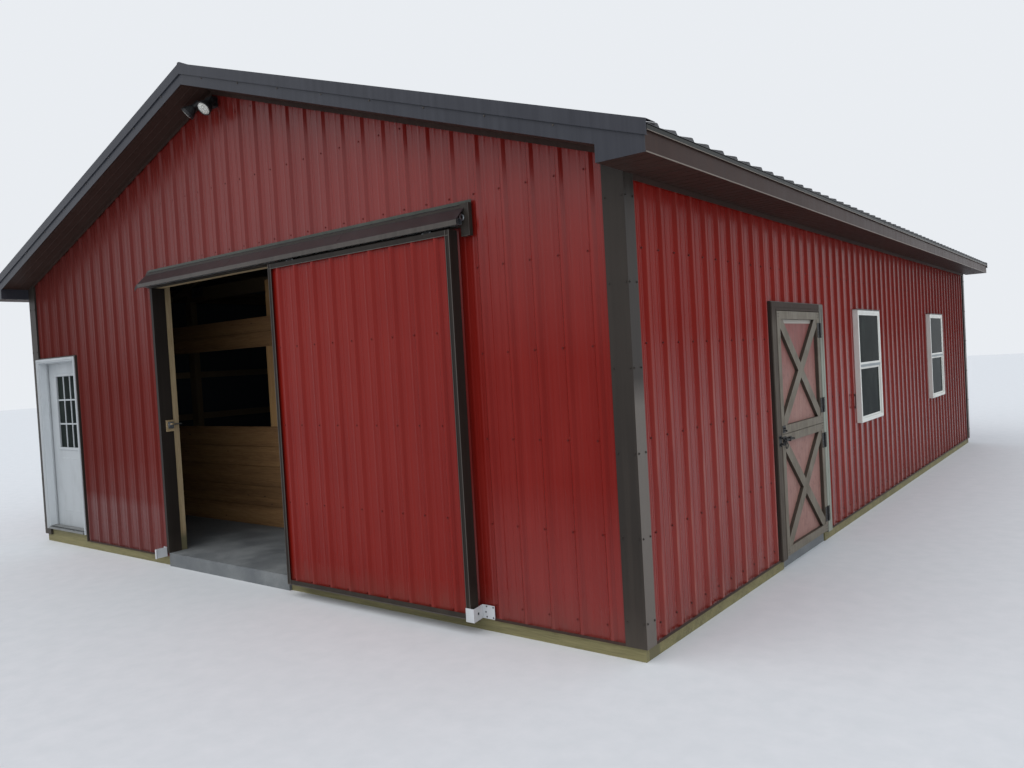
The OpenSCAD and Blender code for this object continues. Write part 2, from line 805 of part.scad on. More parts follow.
module entry_door_hardware() {
    face_y = half_l - entry_recess;
    knob_x = entry_leaf_x + entry_w - 60;
    knob_z = entry_leaf_z + 0.42 * entry_h;
    color(steel) {
        for (s = [-1, 1]) translate([knob_x, -face_y + entry_t / 2, knob_z]) rotate([s * 90, 0, 0]) {
            translate([0, 0, entry_t / 2]) cylinder(h = 8, r = 32, $fn = 48);
            translate([0, 0, entry_t / 2 + 8]) cylinder(h = 22, r = 12, $fn = 32);
            translate([0, 0, entry_t / 2 + 30]) cylinder(h = 28, r = 26, $fn = 48);
        }
        for (z = entry_hinge_rows) translate([entry_pin_x, entry_pin_y, z - knuckle_h / 2])
            difference() {
                union() {
                    cylinder(h = knuckle_h, r = knuckle_r, $fn = 32);
                    span([0, -knuckle_r - 1, 0], [gap / 2 + 30, -knuckle_r + plate_t, knuckle_h]);
                    span([0, -knuckle_r - 1, 0], [gap / 2 + 3, 0, knuckle_h]);
                }
                translate([0, 0, -1])
                    cylinder(h = knuckle_h + 2, r = hinge_pin_r + pin_gap, $fn = 32);
            }
    }
}

module stable_door_frame() {
    color(door_grey) difference() {
        span([post_x, stable_l, siding_foot], [stable_face, stable_r, stable_frame_top]);
        span([0, stable_leaf_l, 0], [stable_face + 1, stable_leaf_r + gap, stable_head]);
    }
}

plate_t = 3;
knuckle_r = 6;
knuckle_h = 60;
outer_knuckle_h = 40;
hinge_high = knuckle_h / 2 + 1 + outer_knuckle_h;
hinge_pin_r = 3;
pin_gap = 0.1;
entry_pin_x = entry_leaf_x - gap / 2;
entry_pin_y = -half_l + entry_recess + entry_t + knuckle_r + 1;
entry_hinge_rows = [for (share = [0.1, 0.5, 0.9]) entry_leaf_z + share * entry_h];

// The fixed half of a hinge at the origin: two outer knuckles, joined by the pin
module hinge_pin() {
    low = knuckle_h / 2 + 1;
    for (s = [0, 1]) mirror([0, 0, s]) translate([0, 0, low])
        cylinder(h = outer_knuckle_h, r = knuckle_r, $fn = 32);
    translate([0, 0, -low - 1]) cylinder(h = 2 * low + 2, r = hinge_pin_r, $fn = 32);
}

// The fixed halves of the doors' hinges, with their pins, and a small bar on the wall that the
// open leaves of the stable door are hooked to
module door_ironwork() {
    jamb_y = stable_leaf_r + gap;
    low = knuckle_h / 2 + 1;
    high = hinge_high;
    catch_y = pin_y + stable_w + gap / 2 + 8;
    catch_d = 14;
    catch_low = stable_meet + 44;
    catch_high = catch_low + 133;
    color(black) {
        for (z = concat(lower_hinge_rows, upper_hinge_rows)) translate([0, 0, z]) {
            translate([pin_x, pin_y, 0]) hinge_pin();
            for (s = [0, 1]) mirror([0, 0, s])
                span([stable_face, pin_y, low], [pin_x, jamb_y + 8, high]);
            span([stable_face, jamb_y + 2, -high], [stable_face + plate_t, jamb_y + 60, high]);
        }
        for (z = [catch_low, catch_high]) {
            span([half_w - trim_t, catch_y, z], [half_w + catch_d, catch_y + 8, z + 22]);
            span([half_w - trim_t, catch_y + 8, z], [half_w, catch_y + 30, z + 22]);
        }
        span([half_w + catch_d - 7, catch_y, catch_low],
            [half_w + catch_d, catch_y + 8, catch_high + 22]);
        for (z = entry_hinge_rows) translate([entry_pin_x, entry_pin_y, z]) {
            hinge_pin();
            for (s = [0, 1]) mirror([0, 0, s])
                span([-gap / 2 - 10, -knuckle_r - 1, low], [0, 0, high]);
        }
    }
}

// The half of a hinge on a leaf of the stable door: a tall plate and the middle knuckle
module leaf_hinge(z) {
    plate_l = pin_y - 70;
    plate_r = pin_y - 8;
    below = hinge_high - knuckle_h / 2;
    translate([0, 0, z - knuckle_h / 2]) difference() {
        union() {
            span([stable_face, plate_r - plate_t, 0], [pin_x, pin_y, knuckle_h]);
            translate([pin_x, pin_y, 0]) cylinder(h = knuckle_h, r = knuckle_r, $fn = 32);
            span([stable_face, plate_l, -below], [stable_face + plate_t, plate_r, knuckle_h + below]);
        }
        translate([pin_x, pin_y, -1])
            cylinder(h = knuckle_h + 2, r = hinge_pin_r + pin_gap, $fn = 32);
    }
}

// A leaf of the stable door: a board panel in a frame, with crossed braces on its face
brace_set = 4;

module stable_leaf(low, high) {
    l = stable_leaf_l + gap;
    r = stable_leaf_r;
    back = stable_face - stable_t;
    panel_face = stable_face - stable_recess;
    a = [l + stable_rail, low + stable_rail];
    b = [r - stable_rail, high - stable_rail];
    lean = atan2(b.y - a.y, b.x - a.x);
    brace_l = norm(b - a) + 2 * stable_brace;
    brace_back = (back + panel_face) / 2;
    brace_face = stable_face - brace_set;
    color(door_grey) {
        difference() {
            span([back, l, low], [stable_face, r, high]);
            span([back - 1, a.x, a.y], [stable_face + 1, b.x, b.y]);
        }
        span([back, a.x, a.y], [panel_face, b.x, b.y]);
        intersection() {
            for (s = [-1, 1]) translate([brace_back, (a.x + b.x) / 2, (a.y + b.y) / 2])
                rotate([s * lean, 0, 0]) translate([0, -brace_l / 2, -stable_brace / 2])
                cube([brace_face - brace_back, brace_l, stable_brace]);
            span([brace_back, a.x, a.y], [brace_face, b.x, b.y]);
        }
    }
}

module upper_leaf() {
    stable_leaf(stable_meet + gap / 2, stable_top);
}

module lower_leaf() {
    stable_leaf(stable_foot, stable_meet - gap / 2);
}

module upper_leaf_hardware() {
    color(black) for (z = upper_hinge_rows) leaf_hinge(z);
}

module lower_leaf_hardware() {
    latch_l = stable_leaf_l + gap;
    latch_z = stable_meet - 64;
    latch_w = 210;
    latch_h = 34;
    color(black) {
        for (z = lower_hinge_rows) leaf_hinge(z);
        span([stable_face, latch_l + 5, latch_z], [stable_face + 8, latch_l + latch_w, latch_z + latch_h]);
    }
}

window_out = 30;
meet_z = window_z + 0.5 * window_h;
meet_rail = 36;

module window_frames() {
    color(white) both_sides() for (w = window_y) translate([0, w - half_l, 0]) {
        difference() {
            span([post_x, -window_w / 2, window_z],
                [half_w + window_out, window_w / 2, window_z + window_h]);
            span([0, -window_w / 2 + window_face, window_z + window_face],
                [half_w + window_out + 1, window_w / 2 - window_face,
                    window_z + window_h - window_face]);
        }
        span([half_w - 8, -window_w / 2 + window_face, meet_z - meet_rail / 2],
            [half_w + window_out - 4, window_w / 2 - window_face, meet_z + meet_rail / 2]);
    }
}

// The lower pane of each window lies behind the upper one
module window_glass() {
    pane = 8;
    step = 12;
    lower_x = half_w + 2;
    low = window_z + window_face;
    high = window_z + window_h - window_face;
    half = window_w / 2 - window_face;
    color([0.6, 0.7, 0.75, 0.5]) both_sides() for (w = window_y) translate([0, w - half_l, 0]) {
        span([lower_x, -half, low], [lower_x + pane, half, meet_z - meet_rail / 2]);
        span([lower_x + step, -half, meet_z + meet_rail / 2],
            [lower_x + step + pane, half, high]);
    }
}

// A round lamp that looks along its own downward axis, with its lens at the origin
module flood_lamp(lean, turn) {
    rim_r = 65;
    socket_r = 25;
    rotate([0, lean, turn]) {
        cylinder(h = 22, r = rim_r, $fn = 48);
        translate([0, 0, 22]) cylinder(h = 70, r1 = rim_r - 5, r2 = socket_r, $fn = 48);
        translate([0, 0, 92]) cylinder(h = 62, r = socket_r, $fn = 48);
    }
}

// Two lamps on a bar under the peak
module flood_light() {
    lamp_z = wall_top_z - 112;
    base = 55;
    bar_y = 40;
    bar_h = 26;
    color(black) translate([0, -half_l, lamp_z]) {
        span([-base, -bar_y, -base + 10], [base, half_l - girt_y - sheet_t, base - 10]);
        span([-112, -bar_y - 35, -bar_h / 2], [80, -bar_y, bar_h / 2]);
        translate([87, -150, -103]) flood_lamp(47, 97);
        translate([-187, -150, -88]) flood_lamp(48, 41);
    }
}

module stall_posts() {
    back = -half_l + stall_y + board_t;
    color(lumber) for (x = [-post_x, stall_x])
        span([x, back, slab_top], [x + stall_post, back + stall_post, eave_z]);
}

// Boards across the stall's front, with an opening between the lower and the upper ones
module stall_boards() {
    front = -half_l + stall_y;
    opening_l = -post_x + 2 * stall_post;
    color(lumber) difference() {
        span([-post_x, front, slab_top],
            [stall_x + stall_post, front + board_t, stall_beam_z + stall_beam_h]);
        span([opening_l, front - 1, stall_board_top], [stall_x, front + board_t + 1, stall_beam_z]);
    }
}

frame_t = slider_t - skin;

module sliding_door_frame() {
    rail = 89;
    rails = 4;
    step = (slider_h - rail) / rails;
    color(lumber) {
        for (i = [0:rails]) span([slider_x, -slider_back - frame_t, slider_z + i * step],
            [slider_x + slider_w, -slider_back, slider_z + i * step + rail]);
        for (x = [slider_x, slider_x + slider_w - rail])
            span([x, -slider_back - frame_t, slider_z], [x + rail, -slider_back, slider_top]);
    }
}

module sliding_door_sheet() {
    ribs = [for (x = [slider_x + rib_pitch / 2 : rib_pitch : slider_x + slider_w]) x];
    color(siding_red) translate([0, -slider_back - frame_t, slider_z]) mirror([0, 1, 0])
        linear_extrude(slider_h) rib_profile(slider_x, slider_x + slider_w, ribs);
}

// A narrow folded trim round the sliding door's edge
module sliding_door_trim() {
    lap = 38;
    face = slider_front;
    color(trim_dark) difference() {
        span([slider_x - trim_t, -face, slider_z - trim_t],
            [slider_x + slider_w + trim_t, -slider_back, slider_top + trim_t]);
        span([slider_x, -face + trim_t, slider_z], [slider_x + slider_w, 0, slider_top]);
        span([slider_x + lap, -face - 1, slider_z + lap],
            [slider_x + slider_w - lap, 0, slider_top - lap]);
    }
}

// Two trolleys that run in the rail, each hung from the door by a plate through the slot
module sliding_door_hangers() {
    inset = 250;
    truck_l = 110;
    truck_w = rail_w - 2 * rail_wall - 2 * gap;
    stem = 6;
    low = rail_low + rail_wall + 0.3;
    color(steel) for (x = [slider_x + inset, slider_x + slider_w - inset]) translate([x, -rail_y, 0]) {
        span([-truck_l / 2, -truck_w / 2, low], [truck_l / 2, truck_w / 2, low + 30]);
        span([-truck_l / 3, -stem / 2, slider_top + trim_t], [truck_l / 3, stem / 2, low]);
        span([-truck_l / 2, -truck_w / 2, slider_top + trim_t], [truck_l / 2, truck_w / 2, slider_top + 9]);
    }
}

floor_slab();
skirt_boards();
posts();
girts();
window_studs();
truss_top_chords();
truss_bottom_chords();
truss_webs();
purlins();
barge_rafters();
fascia_boards();
roof_sheet_left();
roof_sheet_right();
ridge_cap();
rake_trims();
eave_trim();
soffits();
eave_returns();
front_wall();
walls_over_doors();
rear_wall();
left_wall();
right_wall();
corner_trims();
wall_edge_trims();
doorway_trim();
track_board();
door_track();
track_cover();
door_guides();
jamb_latch();
entry_door_frame();
stable_door_frame();
door_ironwork();
window_frames();
window_glass();
flood_light();
stall_posts();
stall_boards();
sliding_door_frame();
sliding_door_sheet();
sliding_door_trim();
sliding_door_hangers();
entry_door_leaf();
entry_door_glass();
entry_door_hardware();
upper_leaf();
upper_leaf_hardware();
lower_leaf();
lower_leaf_hardware();
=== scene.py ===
"""Looks of the red barn: materials, sheet ribs, fasteners, sashes, boards and ironwork.

Everything is in metres in the part's own frame: the origin on the ground under the middle of
the roof, the front gable towards -Y and the stable door on +X.
"""

import math
import random

import bmesh
import bpy
from mathutils import Matrix, Vector


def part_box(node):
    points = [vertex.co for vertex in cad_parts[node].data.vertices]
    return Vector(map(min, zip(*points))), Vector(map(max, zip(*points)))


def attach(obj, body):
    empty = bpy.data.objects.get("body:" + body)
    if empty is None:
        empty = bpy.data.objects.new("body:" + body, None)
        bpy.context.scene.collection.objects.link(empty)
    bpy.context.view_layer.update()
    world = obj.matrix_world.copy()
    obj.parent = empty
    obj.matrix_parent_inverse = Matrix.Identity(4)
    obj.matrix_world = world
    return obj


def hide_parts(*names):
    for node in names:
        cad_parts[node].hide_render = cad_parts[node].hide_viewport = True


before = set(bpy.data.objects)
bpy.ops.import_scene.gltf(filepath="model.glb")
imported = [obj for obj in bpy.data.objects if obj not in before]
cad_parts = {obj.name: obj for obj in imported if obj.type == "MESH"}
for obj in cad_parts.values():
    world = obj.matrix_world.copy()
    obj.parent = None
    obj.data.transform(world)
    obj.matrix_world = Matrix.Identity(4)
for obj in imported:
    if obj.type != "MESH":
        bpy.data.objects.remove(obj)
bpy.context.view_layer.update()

# Sizes of the barn, repeated from the part's source
HALF_W = 4.267
HALF_L = 6.096
SKIN = 0.025
SHEET_T = 0.003
RIB_H = 0.019
RIB_PITCH = 0.2286
RIB_FOOT = 0.062
TRIM_T = 0.003
BOARD_T = 0.038
LUMBER_W = 0.089
EAVE_Z = 3.040
PITCH = 0.3333
OVERHANG = 0.322
RAKE_DROP = 0.185
RAKE_STEP = 0.012
SIDING_FOOT = 0.090
CORNER_GABLE = 0.155
CORNER_SIDE = 0.124
FOOT_ROW = 0.200
GIRT_ROWS = [0.780, 1.385, 1.990, 2.595]
GABLE_ROWS = [3.110, 3.715, 4.320]
WINDOW_W = 0.940
WINDOW_H = 1.250
WINDOW_Z = 1.032
WINDOW_FACE = 0.042
WINDOW_Y = [-0.648, 3.249]

SLOPE = math.atan(PITCH)
SLANT = math.cos(SLOPE)
RIDGE_Z = EAVE_Z + RAKE_DROP + PITCH * (HALF_W + OVERHANG)
CREST_Z = RIDGE_Z - TRIM_T
SHEET_Z = CREST_Z - (SHEET_T + RIB_H) / SLANT
PURLIN_Z = SHEET_Z - BOARD_T / SLANT
CHORD_Z = PURLIN_Z - LUMBER_W / SLANT
WALL_TOP = CHORD_Z - 0.010 / SLANT
FLAT_X = HALF_W - SKIN + SHEET_T
FLAT_Y = HALF_L - SKIN + SHEET_T
SHEET_BACK_X = HALF_W - SKIN
SHEET_BACK_Y = HALF_L - SKIN
RAKE_Y = HALF_L + OVERHANG
RAKE_BACK_Y = RAKE_Y - RAKE_STEP

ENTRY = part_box("entry_door_frame")
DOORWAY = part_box("doorway_trim")
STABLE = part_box("stable_door_frame")
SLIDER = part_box("sliding_door_trim")
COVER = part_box("track_cover")


# Mesh building

BOX_FACES = [(0, 3, 2, 1), (4, 5, 6, 7), (0, 1, 5, 4), (1, 2, 6, 5), (2, 3, 7, 6), (3, 0, 4, 7)]
ALONG_FRONT = (1, 0, 0)
ALONG_SIDE = (0, 1, 0)


def moved(origin, offset):
    """A place given by its distances from an origin."""
    return tuple(o + d for o, d in zip(origin, offset))


def turned(matrix, radius, height, k, sides):
    """A corner of a form that is turned round the matrix's Z: the k-th of its sides."""
    turn = 2 * math.pi * k / sides
    return matrix @ Vector((radius * math.cos(turn), radius * math.sin(turn), height))


class Shape:
    """Collects the corners and faces of one piece."""

    def __init__(self):
        self.verts = []
        self.faces = []

    def add(self, verts, faces):
        start = len(self.verts)
        self.verts.extend([tuple(v) for v in verts])
        self.faces.extend([tuple(start + i for i in f) for f in faces])

    def box(self, low, high):
        x0, y0, z0 = low
        x1, y1, z1 = high
        corners = [
            (x0, y0, z0), (x1, y0, z0), (x1, y1, z0), (x0, y1, z0),
            (x0, y0, z1), (x1, y0, z1), (x1, y1, z1), (x0, y1, z1),
        ]
        self.add(corners, BOX_FACES)

    def boxes(self, origin, rows):
        """Boxes whose low and high corners are given from an origin."""
        for row in rows:
            self.box(moved(origin, row[:3]), moved(origin, row[3:]))

    def turned_box(self, matrix, low, high):
        part = Shape()
        part.box(low, high)
        self.add([matrix @ Vector(v) for v in part.verts], part.faces)

    def sweep(self, rings, closed=False):
        """Joins rings of corners, each with the same number of corners, into a solid."""
        count = len(rings[0])
        last = (len(rings) - 1) * count
        faces = []
        for i in range(len(rings) if closed else len(rings) - 1):
            a = i * count
            b = (i + 1) % len(rings) * count
            for k in range(count):
                n = (k + 1) % count
                faces.append((a + k, a + n, b + n, b + k))
        if not closed:
            faces += [tuple(reversed(range(count))), tuple(range(last, last + count))]
        self.add([corner for ring in rings for corner in ring], faces)

    def disc_stack(self, matrix, levels, sides):
        """A turned form: levels are (radius, height) pairs along the matrix's Z."""
        self.sweep([[turned(matrix, r, h, k, sides) for k in range(sides)] for r, h in levels])

    def turned_ring(self, matrix, section, sides):
        """A ring turned from a section of (radius, height) pairs."""
        rings = [[turned(matrix, r, h, k, sides) for r, h in section] for k in range(sides)]
        self.sweep(rings, closed=True)


def facing(origin, u, v=(0, 0, 1)):
    """A matrix whose X is u, whose Y is v and whose Z stands out of the surface."""
    u = Vector(u).normalized()
    v = Vector(v).normalized()
    w = u.cross(v)
    matrix = Matrix((u, v, w)).transposed().to_4x4()
    matrix.translation = Vector(origin)
    return matrix


FRONT = facing((0, -FLAT_Y, 0), ALONG_FRONT)
REAR = facing((0, FLAT_Y, 0), (-1, 0, 0))
RIGHT = facing((FLAT_X, 0, 0), ALONG_SIDE)
LEFT = facing((-FLAT_X, 0, 0), (0, -1, 0))


def slope_facing(side):
    """The roof sheet's flat on one side: X runs along the ridge and Y runs up the slope."""
    run = Vector((-side * SLANT, 0, math.sin(SLOPE)))
    lift = SHEET_T / SLANT
    return facing((0, 0, SHEET_Z + lift), (0, side, 0), run)


SHARP_ANGLE = math.radians(35)
BEVEL_ANGLE = math.radians(40)


def make(name, shape, look, body="building", bevel=0.0, smooth=False):
    """Turns a shape into a piece with its look, which rides on a body."""
    mesh = bpy.data.meshes.new(name)
    mesh.from_pydata(shape.verts, [], shape.faces)
    work = bmesh.new()
    work.from_mesh(mesh)
    bmesh.ops.recalc_face_normals(work, faces=work.faces)
    work.to_mesh(mesh)
    work.free()
    piece = bpy.data.objects.new(name, mesh)
    bpy.context.scene.collection.objects.link(piece)
    mesh.materials.append(look)
    if smooth:
        mesh.shade_smooth()
        mesh.set_sharp_from_angle(angle=SHARP_ANGLE)
    if bevel:
        edges = piece.modifiers.new("edges", "BEVEL")
        edges.width = bevel
        edges.segments = 2
        edges.limit_method = "ANGLE"
        edges.angle_limit = BEVEL_ANGLE
    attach(piece, body)
    return piece


# Materials. A colour is given by the 0 to 255 values that a screen shows.


def linear(color):
    """A linear colour from a screen's three values. One with four values is linear already."""
    if len(color) == 4:
        return color
    channels = []
    for value in color:
        value = value / 255
        channels.append(value / 12.92 if value <= 0.04045 else ((value + 0.055) / 1.055) ** 2.4)
    return (*channels, 1.0)


def add_node(tree, kind, inputs, **settings):
    """Adds a node whose inputs take numbers, tuples or the outputs of other nodes."""
    node = tree.nodes.new("ShaderNode" + kind)
    for name, value in settings.items():
        setattr(node, name, value)
    for key, value in inputs.items():
        if isinstance(value, (int, float, tuple)):
            node.inputs[key].default_value = value
        else:
            tree.links.new(value, node.inputs[key])
    return node.outputs


class Look:
    """A procedural material whose patterns are laid out in metres on the piece itself."""

    def __init__(self, name, roughness=0.5, **sockets):
        self.material = bpy.data.materials.new(name)
        self.material.use_nodes = True
        self.tree = self.material.node_tree
        self.shader = self.tree.nodes["Principled BSDF"]
        self.shader.inputs["Roughness"].default_value = roughness
        for socket, value in sockets.items():
            self.shader.inputs[socket.replace("_", " ")].default_value = value
        self.place = self.node("TexCoord", {})["Object"]
        self.normal = None

    def node(self, kind, inputs, **settings):
        return add_node(self.tree, kind, inputs, **settings)

    def placed(self, stretch):
        """Places on the piece, scaled along each axis where a stretch is given."""
        if not stretch:
            return self.place
        return self.node("Mapping", {"Vector": self.place, "Scale": stretch})["Vector"]

    def noise(self, scale, detail=4.0, roughness=0.6, stretch=None, distortion=0.0):
        return self.node("TexNoise", {
            "Vector": self.placed(stretch), "Scale": scale, "Detail": detail,
            "Roughness": roughness, "Distortion": distortion,
        })["Fac"]

    def cells(self, scale, stretch=None):
        return self.node("TexVoronoi", {"Vector": self.placed(stretch), "Scale": scale})["Distance"]

    def axis(self, name):
        return self.node("SeparateXYZ", {0: self.place})[name]

    def levels(self, value, low, high, out_low=0.0, out_high=1.0):
        return self.node("MapRange", {
            "Value": value, "From Min": low, "From Max": high, "To Min": out_low, "To Max": out_high,
        })["Result"]

    def over(self, axis, low, high, out_low=0.0, out_high=1.0):
        """A ramp along one of the part's axes."""
        return self.levels(self.axis(axis), low, high, out_low, out_high)

    def math(self, operation, a, b=0.0):
        return self.node("Math", {0: a, 1: b}, operation=operation)[0]

    def times(self, a, b):
        return self.math("MULTIPLY", a, b)

    def plus(self, a, b):
        return self.math("ADD", a, b)

    def minus(self, a, b):
        return self.math("SUBTRACT", a, b)

    def larger(self, a, b):
        return self.math("MAXIMUM", a, b)

    def absolute(self, a):
        return self.math("ABSOLUTE", a)

    def from_middle(self, turns, pitch):
        """How far a place is from the middle of its repeat."""
        return self.times(self.absolute(self.minus(self.math("FRACT", turns), 0.5)), pitch)

    def mix(self, factor, a, b):
        a, b = (linear(c) if isinstance(c, tuple) else c for c in (a, b))
        return self.node("Mix", {0: factor, 6: a, 7: b}, data_type="RGBA")[2]

    def two_tone(self, value, low, high, a, b, share=1.0):
        """Goes from one colour towards the other as the value goes from low to high."""
        return self.mix(self.levels(value, low, high, 0.0, share), a, b)

    def island(self):
        return self.node("NewGeometry", {})["Random Per Island"]

    def feed(self, socket, value):
        self.tree.links.new(value, self.shader.inputs[socket])

    def color(self, value):
        self.feed("Base Color", value)

    def rough(self, value):
        self.feed("Roughness", value)

    def bump(self, height, distance, strength=1.0):
        inputs = {"Height": height, "Distance": distance, "Strength": strength}
        if self.normal:
            inputs["Normal"] = self.normal
        self.normal = self.node("Bump", inputs)["Normal"]
        self.feed("Normal", self.normal)


DUST_TOP = 0.45
RAIN_STREAK = (22, 22, 0.5)


def weathered(look, base, faded, dust, roughness):
    """Paint with faint rain streaks, fading and dust low down: its colour and its roughness."""
    streaks = look.noise(1.0, detail=5, stretch=RAIN_STREAK)
    fading = look.plus(look.noise(0.9, detail=3), streaks)
    grime = look.noise(9.0, detail=6, stretch=(1, 1, 0.35))
    dirt = look.levels(look.times(look.over("Z", DUST_TOP, 0.05), grime), 0.12, 0.62, 0.0, 0.5)
    paint = look.mix(dirt, look.two_tone(fading, 0.85, 1.25, base, faded), dust)
    gloss = look.levels(look.plus(streaks, dirt), 0.35, 1.3, roughness - 0.06, roughness + 0.25)
    return paint, gloss


def finished_sheet(look, paint, gloss):
    """Gives a look its paint, the slight waves of thin sheet and the paint's fine texture."""
    look.color(paint)
    look.rough(gloss)
    look.bump(look.noise(2.6, detail=2), 0.004, 0.5)
    look.bump(look.noise(420.0, detail=2), 0.0002, 0.25)
    return look.material


def painted_steel(name, base, faded, dust, roughness, specular=0.2):
    """Painted sheet for trims, roof and doors."""
    look = Look(name, roughness, Specular_IOR_Level=specular)
    return finished_sheet(look, *weathered(look, base, faded, dust, roughness))


GABLE_SHINE = (0.12, 0.45)
FOOT_SHINE = 0.34
SIDE_SHINE = (0.07, 0.54)
NO_TINT = (1.0, 1.0, 1.0, 1.0)
WARM_TINT = (1.0, 0.84, 0.78, 1.0)
BEND_SHIFT = 0.010
HIGHLIGHT_SHARE = 0.75


def siding_look(base, faded, dust, painted_shade, painted_highlight, back, roughness):
    """Ribbed wall sheet, duller at middle height, with painted highlights as pale lines along the bends.

    The paint is darker towards the front's left and along the side walls' far ends: painted
    shade. The inner faces show the primer, darkened as painted shade of the unlit inside, and
    the side walls, which have weathered less, are smoother.
    """
    look = Look("siding_paint", roughness)
    paint, gloss = weathered(look, base, faded, dust, roughness)
    across = look.absolute(look.axis("X"))
    along = look.absolute(look.axis("Y"))
    side_wall = look.levels(across, SHEET_BACK_X, SHEET_BACK_X + 0.0004)
    gable = look.minus(1.0, side_wall)
    # Painted shade: the front darkens towards its left and the side walls towards their far ends
    shade_to_left = look.times(look.over("X", 2.5, -3.5), gable)
    shade_to_back = look.times(look.over("Y", -3.5, 5.0, 0.0, 0.75), side_wall)
    paint = look.mix(look.plus(shade_to_left, shade_to_back), paint, painted_shade)

    # Painted highlights: pale lines where the side walls' ribs bend, broken up along their height
    turns = look.times(look.axis("Y"), 1 / RIB_PITCH)
    from_bend = look.absolute(look.minus(look.from_middle(turns, RIB_PITCH), BEND_SHIFT))
    from_minor = look.from_middle(look.times(turns, 3.0), RIB_PITCH / 3)
    bends = look.levels(from_bend, 0.005, 0.001)
    lines = look.larger(bends, look.levels(from_minor, 0.006, 0.001, 0.0, 0.5))
    broken = look.levels(look.noise(1.0, detail=3, stretch=(6, 6, 1.1)), 0.42, 0.62)
    reach = look.times(look.over("Z", 2.4, 0.8, 0.2, 1.0), look.times(broken, side_wall))
    paint = look.mix(look.times(lines, look.times(reach, HIGHLIGHT_SHARE)), paint, painted_highlight)

    # Painted shade: the inner faces take a dark grey over the primer, standing for the unlit inside
    within_x = look.levels(across, SHEET_BACK_X + 0.0012, SHEET_BACK_X + 0.0008)
    within_y = look.levels(along, SHEET_BACK_Y + 0.0012, SHEET_BACK_Y + 0.0008)
    paint = look.mix(look.times(within_x, within_y), paint, back)

    # Each wall's shine: its change with the height times its change along the wall
    ends = look.larger(look.over("Z", 1.9, 3.0), look.over("Z", 1.1, 0.4))
    by_height = look.levels(ends, 0.0, 1.0, *GABLE_SHINE)
    gable_shine = look.times(by_height, look.over("X", -3.6, 1.5, 0.05, 1.0))
    gable_shine = look.larger(gable_shine, look.over("Z", 0.72, 0.56, 0.0, FOOT_SHINE))
    by_height = look.over("Z", 2.1, 0.4, *SIDE_SHINE)
    side_shine = look.times(by_height, look.over("Y", -3.0, 5.0, 1.0, 0.45))
    shine = look.plus(look.times(gable_shine, gable), look.times(side_shine, side_wall))
    look.feed("Specular IOR Level", shine)
    look.feed("Specular Tint", look.mix(side_wall, NO_TINT, WARM_TINT))
    look.bump(look.noise(1.0, detail=3, stretch=(38, 38, 0.3)), 0.0008, 0.6)
    return finished_sheet(look, paint, look.minus(gloss, look.times(side_wall, 0.07)))


def corner_look(base, faded, dust, painted_reflection, roughness):
    """Trim paint whose legs beside the corners go pale low down: a painted reflection."""
    look = Look("corner_paint", roughness, Specular_IOR_Level=0.13)
    paint, gloss = weathered(look, base, faded, dust, roughness)
    across = look.absolute(look.axis("X"))
    side_leg = look.levels(across, HALF_W - 0.0015, HALF_W - 0.0005)
    # Painted reflection: the side legs are paler low down
    low_leg = look.times(side_leg, look.over("Z", 1.78, 1.60))
    return finished_sheet(look, look.mix(low_leg, paint, painted_reflection), gloss)


def plain_metal(name, base, worn, roughness, metallic):
    """Bare or coated metal with fine mottling and duller patches."""
    look = Look(name, roughness, Metallic=metallic)
    mottle = look.noise(60.0, detail=5)
    patches = look.noise(7.0, detail=4)
    look.color(look.two_tone(look.plus(mottle, patches), 0.8, 1.3, base, worn))
    look.rough(look.levels(patches, 0.3, 0.7, roughness - 0.08, roughness + 0.14))
    look.bump(mottle, 0.0004, 0.3)
    return look.material


GRAIN = {"X": (0.35, 9, 9), "Y": (9, 0.35, 9), "Z": (9, 9, 0.35)}
RINGS = {"X": (1.2, 26, 26), "Y": (26, 1.2, 26), "Z": (26, 26, 1.2)}


def wood(name, axis, light, dark, knot, knots=2.2, foot=None, inner_shade=None):
    """Sawn timber whose grain runs along one axis, with knots and board to board change.

    A foot colour shows the timber treated up to a little above the ground, and a shade colour
    paints it darker away from the front wall, as painted shade of the dim inside.
    """
    look = Look(name, 0.75)
    broad = look.noise(1.0, detail=5, stretch=GRAIN[axis], distortion=0.6)
    fine = look.noise(3.0, detail=6, stretch=RINGS[axis], distortion=1.2)
    board = look.two_tone(look.plus(broad, fine), 0.78, 1.22, light, dark)
    board = look.two_tone(look.island(), 0.0, 1.0, board, dark, 0.45)
    eye_stretch = tuple(1.0 if s < 5 else 2.4 for s in GRAIN[axis])
    board = look.two_tone(look.cells(knots, stretch=eye_stretch), 0.085, 0.03, board, knot)
    # Painted shade: darker deeper inside the barn, away from the front wall
    if inner_shade:
        board = look.two_tone(look.axis("Y"), 0.16 - HALF_L, 0.50 - HALF_L, board, inner_shade, 0.85)
    if foot:
        board = look.two_tone(look.axis("Z"), 0.34, 0.26, board, foot)
    look.color(board)
    look.rough(look.levels(fine, 0.3, 0.7, 0.65, 0.87))
    look.bump(fine, 0.0012, 0.6)
    look.bump(broad, 0.002, 0.4)
    return look.material


